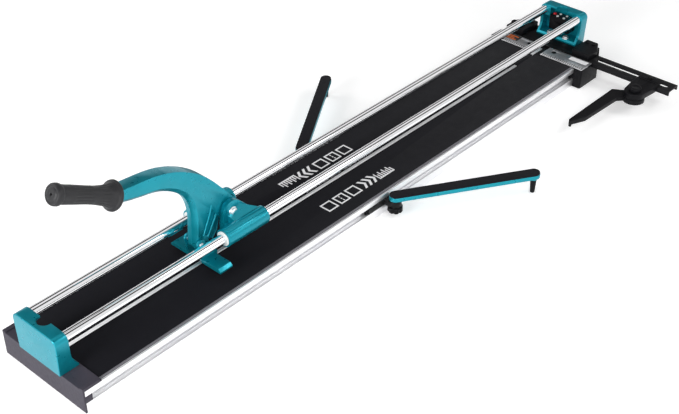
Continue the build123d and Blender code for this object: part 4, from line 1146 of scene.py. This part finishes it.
# --------------------------------------------------------------------------- lever and grip
@dataclass
class Lever:
    """The arched lever with its grip, axle, wheel and stiffening ribs."""

    half_width: float = 13.0
    grip_foot: Point2 = (-553.6, 267.8)
    grip_rise: float = 28.5
    bore_end: float = 99.0
    pivot: Point2 = (-329.0, 128.0)
    gusset_half: float = 2.6

    def build(self, maker: PieceMaker) -> None:
        """Build the lever's pieces."""
        pockets = [self.pocket(side) for side in Side]
        maker.softened("lever", 1.2, 3, 25.0, carve=pockets)
        maker.softened("scoring_wheel", 0.1)
        maker.softened("wheel_axle", 0.4)
        self.build_grip(maker)
        self.build_ribs(maker)
        self.build_gusset(maker)

    def build_grip(self, maker: PieceMaker) -> None:
        """Build the rubber grip: hand stop, fluted waist and drilled end knob."""
        rise = math.radians(self.grip_rise)
        axis = (-math.cos(rise), 0.0, math.sin(rise))
        origin = (self.grip_foot[0], 0.0, self.grip_foot[1])
        outline = [(self.bore_end, 2.0), (self.bore_end, 8.1), (-3.0, 8.1), (-3.0, 21.5), (-2.4, 23.2),
                   (-1.0, 24.4), (0.8, 25.0), (2.4, 24.7), (4.0, 23.4), (5.0, 21.6), (5.6, 21.0),
                   (7.0, 20.6), (10.0, 19.4), (13.0, 18.0), (17.0, 16.8)]
        for step in range(1, 40):
            along = 17.0 + step * (105.0 - 17.0) / 40
            outline.append((along, 16.6 - 2.4 * math.sin(min(1.0, (along - 17.0) / 34.0) * math.pi / 2)
                            + 1.2 * max(0.0, (along - 58.0) / 47.0)))
        outline += [(105.5, 15.2), (106.6, 15.6), (107.8, 16.9), (109.5, 17.5), (113.0, 17.5), (115.6, 17.2),
                    (117.4, 16.2), (118.6, 14.8), (119.0, 13.4), (118.5, 12.6), (118.5, 11.6), (119.2, 10.8),
                    (119.8, 9.6), (120.0, 8.0), (120.0, 3.4), (119.7, 2.6), (119.0, 2.2), outline[0]]
        bm = Shapes.lathe(outline, origin, axis, 144, self.flutes, 9.0)
        maker.piece("grip.finished", bm, "lever", Slot.GRIP_RUBBER, stands_for=("grip",), angle=50.0)

    @staticmethod
    def flutes(angle: float, along: float) -> float:
        """Return the radius change of the grip's flutes and panels.

        Args:
            angle: Angle around the grip in radians.
            along: Distance from the hand stop in millimetres.

        Returns:
            The change in millimetres.
        """
        def window(low: float, high: float, soft: float) -> float:
            """Return one inside a stretch of the grip, falling to zero at its ends."""
            return max(0.0, min(1.0, (along - low) / soft)) * max(0.0, min(1.0, (high - along) / soft))

        flute = -0.75 * max(0.0, math.cos(18 * angle)) ** 2
        panel = 0.5 * max(0.0, math.cos(3 * angle)) ** 0.5
        return (flute * (window(10.0, 36.0, 6.0) + window(46.0, 84.0, 4.0))
                + panel * window(42.0, 92.0, 5.0))

    def pocket(self, side: Side) -> bmesh.types.BMesh:
        """Return the shape of the shallow pocket in one cheek."""
        outline = [(-361.5, 137.0), (-369.5, 148.0), (-373.5, 138.0), (-381.5, 122.0), (-388.0, 106.0),
                   (-382.5, 102.5), (-369.0, 122.0)]
        low, high = sorted((side.value * (self.half_width - 4.0), side.value * (self.half_width + 2.0)))
        return self.upright(Shapes.prism(outline, low, high))

    @staticmethod
    def upright(bm: bmesh.types.BMesh) -> bmesh.types.BMesh:
        """Turn a prism drawn in X and Z so that its height runs along Y."""
        for vert in bm.verts:
            vert.co = Vector((vert.co.x, vert.co.z, vert.co.y))
        bmesh.ops.reverse_faces(bm, faces=bm.faces)
        return bm

    def build_gusset(self, maker: PieceMaker) -> None:
        """Build the sunk web behind the lever's foot with its raised rims."""
        px, pz = self.pivot
        outline = [(-30.0, 8.0), (-18.0, -9.0), (-22.0, -30.0), (-36.0, -46.0), (-46.0, -43.0),
                   (-55.0, -30.0)]
        web = Shapes.prism([(px + x, pz + z) for x, z in outline], -self.gusset_half, self.gusset_half)
        parts = [self.upright(web)]
        for side in Side:
            y = side.value * (self.gusset_half + 0.8)
            parts.append(Shapes.bar([(px - 22.5, y, pz - 4.0), (px - 21.5, y, pz - 20.0),
                                     (px - 24.5, y, pz - 31.0), (px - 37.0, y, pz - 45.5)], 1.6, 16))
            y = side.value * (self.half_width - 0.6)
            parts.append(Shapes.bar([(-360.5, y, 134.5), (-364.5, y, 127.0), (-372.0, y, 114.0),
                                     (-382.0, y, 98.5)],
                                    1.5, 16))
        maker.piece("lever_gusset", Shapes.joined(parts), "lever", Slot.TEAL, None, 0.4, 2)

    def build_ribs(self, maker: PieceMaker) -> None:
        """Build the raised ribs on the lever's cheeks beside the hub."""
        parts = []
        for side in Side:
            y = side.value * (self.half_width - 0.4)
            parts.append(Shapes.bar([(-369.0, y, 158.0), (-374.0, y, 142.0), (-384.0, y, 122.0),
                                     (-391.0, y, 106.0)],
                                    1.5, 16))
        maker.piece("lever_ribs", Shapes.joined(parts), "lever", Slot.TEAL, angle=60.0)


@dataclass
class BreakerFoot:
    """The winged foot and its pin."""

    def build(self, maker: PieceMaker) -> None:
        """Build foot and pin."""
        maker.softened("breaker_foot", 0.9, 3)
        maker.softened("foot_pin", 0.3)


# --------------------------------------------------------------------------- fence end
@dataclass
class FenceEnd:
    """Housing, rules with their scales and labels, pointer, guides and lock screw."""

    rule_front: float = 611.0
    rule_inner: float = 13.0
    rule_outer: float = 121.3
    rule_top: float = 47.0
    film: float = 0.08
    dark_low: Point2 = (626.5, 60.0)
    dark_high: Point2 = (648.5, 112.0)
    pale_low: Point2 = (634.0, -116.0)
    pale_high: Point2 = (648.0, -72.0)
    label_film: float = 0.1
    bar_film: float = 0.16
    rule_screw: Point3 = (638.0, 32.0, 45.0)
    guide_screw_x: float = 705.0
    guide_screw_y: Point2 = (74.0, 90.0)
    guide_top: float = 60.0
    lock: Point2 = (672.0, 98.0)
    lock_low: float = 60.3

    def build(self, maker: PieceMaker) -> None:
        """Build the fence end's pieces."""
        maker.softened("far_end_housing", 0.9, 3)
        for side in Side:
            maker.softened(f"rule_{side.word}", 0.2)
            maker.softened(f"bar_guide_{side.word}", 0.6)
            self.build_scale(maker, side)
        maker.softened("centre_pointer", 0.2)
        self.build_labels(maker)
        self.build_screws(maker)
        self.build_lock(maker)

    def build_scale(self, maker: PieceMaker, side: Side) -> None:
        """Print one rule's scale."""
        near, far = sorted((side.value * (self.rule_inner + 1.0), side.value * (self.rule_outer - 1.0)))
        strip = Shapes.block((self.rule_front + 0.5, near, self.rule_top - SINK),
                             (self.rule_front + 7.2, far, self.rule_top + self.film))
        maker.piece(f"rule_band_{side.word}", strip, "base", Slot.RULE_FACE, maker.palette.black)
        start = (self.rule_front + 0.7, side.value * (self.rule_inner + 3.0), self.rule_top + self.film)
        for label, ticks, count in (("fine", Graduations(short=2.2, middle=3.0, long=3.0), 101),
                                    ("bold", Graduations(5.0, 1.9, 0.08, 5.6, 5.6, 6.3), 21)):
            mesh = ticks.mesh(start, count, side.value, maker.palette.white)
            maker.piece_from_mesh(f"rule_ticks_{label}_{side.word}", mesh, "base", Slot.RULE_FACE,
                                  maker.palette.white)
        for number in range(1, 11):
            spot = (self.rule_front + 11.0, side.value * (self.rule_inner + 3.0 + number * 10.0),
                    self.rule_top)
            self.build_number(maker, side, number, spot)

    @staticmethod
    def build_number(maker: PieceMaker, side: Side, number: int, spot: Point3) -> None:
        """Print one figure of a scale."""
        curve = bpy.data.curves.new("figure", "FONT")
        curve.body = str(number)
        curve.size = 5.0 * MM
        curve.align_x = "CENTER"
        curve.align_y = "CENTER"
        curve.extrude = 0.04 * MM
        carrier = linked("figure", curve)
        graph = bpy.context.evaluated_depsgraph_get()
        mesh = bpy.data.meshes.new_from_object(carrier.evaluated_get(graph), depsgraph=graph)
        bpy.data.objects.remove(carrier)
        mesh.transform(Matrix.Translation(Vector(spot) * MM) @ Matrix.Rotation(-math.pi / 2, 4, "Z"))
        maker.piece_from_mesh(f"rule_figure_{side.word}_{number}", mesh, "base", Slot.RULE_FACE,
                              maker.palette.black)

    def build_labels(self, maker: PieceMaker) -> None:
        """Stick a dark label with plain bars on the left rule and a pale one on the right."""
        top = self.rule_top
        dark = Shapes.block((*self.dark_low, top - SINK), (*self.dark_high, top + self.label_film))
        maker.piece("label_dark", dark, "base", Slot.RULE_FACE, maker.palette.black, 0.05)
        bars = [Shapes.block((x, y0, top + SINK), (x + 3.2, y1, top + self.bar_film))
                for x, y0, y1 in ((628.5, 66.0, 106.0), (635.0, 74.0, 106.0), (641.5, 66.0, 92.0))]
        maker.piece("label_dark_bars", Shapes.joined(bars), "base", Slot.RULE_FACE, maker.palette.orange)
        pale = Shapes.block((*self.pale_low, top - SINK), (*self.pale_high, top + self.label_film))
        maker.piece("label_pale", pale, "base", Slot.RULE_FACE, maker.palette.white, 0.05)

    def build_screws(self, maker: PieceMaker) -> None:
        """Build the screws of rules and guides."""
        x, y, z = self.rule_screw
        seats = [(x, side.value * y, z) for side in Side]
        heads = ScrewHeads(4.4, 2.4).mesh(seats, maker.palette.of(Slot.BLACK_METAL))
        maker.piece_from_mesh("rule_screws.finished", heads, "base", Slot.BLACK_METAL, None, 0.25, 2,
                              ("rule_screws",))
        guide_seats = [(self.guide_screw_x, side.value * y, self.guide_top)
                       for side in Side for y in self.guide_screw_y]
        heads = ScrewHeads(4.5, 2.2).mesh(guide_seats, maker.palette.of(Slot.BLACK_METAL))
        maker.piece_from_mesh("guide_screws.finished", heads, "base", Slot.BLACK_METAL, None, 0.25, 2,
                              ("guide_screws",))

    def build_lock(self, maker: PieceMaker) -> None:
        """Build the lock screw's knurled head."""
        low = self.lock_low
        profile = [(48.3, 0.0), (48.3, 2.6), (48.7, 3.0), (low, 3.0), (low, 8.4), (low + 0.6, 9.0),
                   (low + 5.6, 9.0), (low + 6.5, 8.2), (low + 6.7, 7.0), (low + 6.2, 6.4), (low + 6.2, 0.0)]

        def knurl(angle: float, along: float) -> float:
            """Return the scallop depth round the head."""
            return -0.9 * max(0.0, math.cos(10 * angle)) ** 2 if along >= low else 0.0

        bm = Shapes.lathe(profile, (*self.lock, 0.0), (0, 0, 1), 120, knurl, 5.0)
        maker.piece("bar_lock_knob.finished", bm, "bar_lock", Slot.BLACK_PLASTIC,
                    stands_for=("bar_lock_knob",))


@dataclass
class LaserModule:
    """The line laser inside the far bracket."""

    middle: float = 710.25
    top: float = 97.0
    screw_reach: Point2 = (6.5, 8.3)

    def build(self, maker: PieceMaker) -> None:
        """Build the laser's pieces."""
        maker.softened("laser_housing", 0.5)
        maker.softened("laser_cover", 0.5)
        maker.softened("laser_barrel", 0.3, slot=Slot.BLACK_METAL)
        maker.softened("laser_button", 0.3)
        along, across = self.screw_reach
        seats = [(self.middle + dx, dy, self.top) for dx in (-along, along) for dy in (-across, across)]
        # The laser screws are steel, but they get the pale nylon finish here: a painted highlight that stands
        # in for the bright glints on their domed heads.
        heads = ScrewHeads(2.9, 1.4).mesh(seats, maker.palette.of(Slot.BUSH_PLASTIC))
        maker.piece_from_mesh("laser_screws.finished", heads, "base", Slot.BUSH_PLASTIC, None, 0.5, 3,
                              ("laser_screws",))
        ring = [(0.0, 4.5), (0.0, 6.2), (0.7, 5.9), (0.8, 5.0), (0.5, 4.5)]
        collar = Shapes.lathe(ring + [ring[0]], (self.middle, 19.5, self.top), (0, 0, 1), 48)
        maker.piece("laser_button_collar", collar, "base", Slot.BLACK_PLASTIC)


# --------------------------------------------------------------------------- gauge
@dataclass
class AngleGauge:
    """The sliding bar with its block, knob and swinging arm."""

    pivot: Point2 = (605.0, -255.0)
    knob_low: float = 51.9
    knob_height: float = 8.2
    rib_ends: Point2 = (-308.6, 114.6)
    rib_levels: Point2 = (47.9, 48.22)
    rib_fronts: Point2 = (653.2, 686.6)
    rib_width: float = 2.2
    ridge_low: Point3 = (656.0, -275.0, 51.2)
    ridge_high: Point3 = (659.0, -235.0, 52.4)
    ridge_pitch: float = 6.0

    def build(self, maker: PieceMaker) -> None:
        """Build the gauge's pieces."""
        for node in ("gauge_bar", "gauge_block", "gauge_arm"):
            maker.softened(node, 0.6, 3)
        maker.softened("gauge_clamp_screw", 0.3, slot=Slot.BLACK_METAL)
        maker.softened("gauge_bolt", 0.3)
        low, high = self.knob_low, self.knob_low + self.knob_height
        profile = [(high - 1.0, 0.0), (high - 1.0, 4.05), (low, 4.05), (low, 12.2), (low + 0.8, 13.0),
                   (high - 1.6, 13.0), (high - 0.5, 12.3), (high, 11.0), (high, 7.0), (high - 0.3, 6.4),
                   (high - 0.3, 0.0)]

        def lobes(angle: float, along: float) -> float:
            """Return the lobe depth round the knob."""
            outer = low + 0.1 < along < high - 1.9 or along > high - 1.7
            return -1.1 * max(0.0, math.cos(8 * angle)) ** 2 if outer else 0.0

        bm = Shapes.lathe(profile, (*self.pivot, 0.0), (0, 0, 1), 128, lobes, 10.0)
        maker.piece("gauge_knob.finished", bm, "gauge_knob", Slot.BLACK_PLASTIC, stands_for=("gauge_knob",))
        self.build_ribs(maker)

    def build_ribs(self, maker: PieceMaker) -> None:
        """Build the low ribs along the bar's top edges and the block's finger ridges."""
        (low, high), (near, far) = self.rib_levels, self.rib_ends
        edges = [Shapes.block((x, near, low), (x + self.rib_width, far, high)) for x in self.rib_fronts]
        maker.piece("gauge_bar_ribs", Shapes.joined(edges), "gauge_bar", Slot.BLACK_METAL)
        (x0, y0, z0), (x1, y1, z1) = self.ridge_low, self.ridge_high
        ridges = [Shapes.block((x0 + shift, y0, z0), (x1 + shift, y1, z1))
                  for shift in (0.0, self.ridge_pitch)]
        maker.piece("gauge_block_ridges", Shapes.joined(ridges), "gauge_block", Slot.BLACK_PLASTIC, None,
                    0.5, 3)


# --------------------------------------------------------------------------- support arms
@dataclass
class SupportArm:
    """One folding arm with its slider, leg and clamp knob."""

    side: Side
    pivot: Point2 = (-15.0, 120.0)
    knob_low: float = 8.0
    knob_high: float = 20.5
    knob_radius: float = 14.5
    lobes: int = 7

    def build(self, maker: PieceMaker) -> None:
        """Build the arm's pieces."""
        word = self.side.word
        maker.softened(f"arm_bar_{word}", 0.8, 3)
        maker.softened(f"arm_strip_{word}", 0.5, 2)
        maker.softened(f"arm_slider_{word}", 0.5)
        maker.softened(f"arm_bolt_{word}", 0.4)
        maker.softened(f"arm_foot_{word}", 0.5)
        self.build_knob(maker)

    def build_knob(self, maker: PieceMaker) -> None:
        """Build the lobed clamp knob."""
        low, high, radius = self.knob_low, self.knob_high, self.knob_radius
        profile = [(low + 0.8, 4.05), (low, 6.0), (low, radius - 2.6), (low + 0.8, radius - 1.0),
                   (low + 2.4, radius), (high - 1.8, radius), (high - 0.5, radius - 1.0),
                   (high, radius - 3.0), (high, 6.6), (high - 0.6, 4.05)]

        def lobe(angle: float, along: float) -> float:
            """Return the depth between two lobes."""
            deep = max(0.0, math.cos(self.lobes * angle)) ** 1.5
            return -2.1 * deep if low < along < high else -1.4 * deep

        spot = (self.pivot[0], self.side.value * self.pivot[1], 0.0)
        bm = Shapes.lathe(profile + [profile[0]], spot, (0, 0, 1), 140, lobe, 7.0)
        word = self.side.word
        maker.piece(f"arm_knob_{word}.finished", bm, f"arm_knob_{word}", Slot.BLACK_PLASTIC,
                    stands_for=(f"arm_knob_{word}",))


def main() -> None:
    """Build the cutter and its studio, in order."""
    logging.basicConfig(level=logging.INFO, format="%(name)s: %(message)s")
    maker = PieceMaker(Palette())
    maker.dress_frame()
    Studio().build()
    assemblies = [Deck(), RailFrame(), Carriage(), Lever(), BreakerFoot(), FenceEnd(), LaserModule(),
                  AngleGauge()]
    assemblies += [SupportArm(side) for side in Side]
    for assembly in assemblies:
        assembly.build(maker)
        LOG.info("built %s", type(assembly).__name__)


if __name__ == "__main__":
    main()
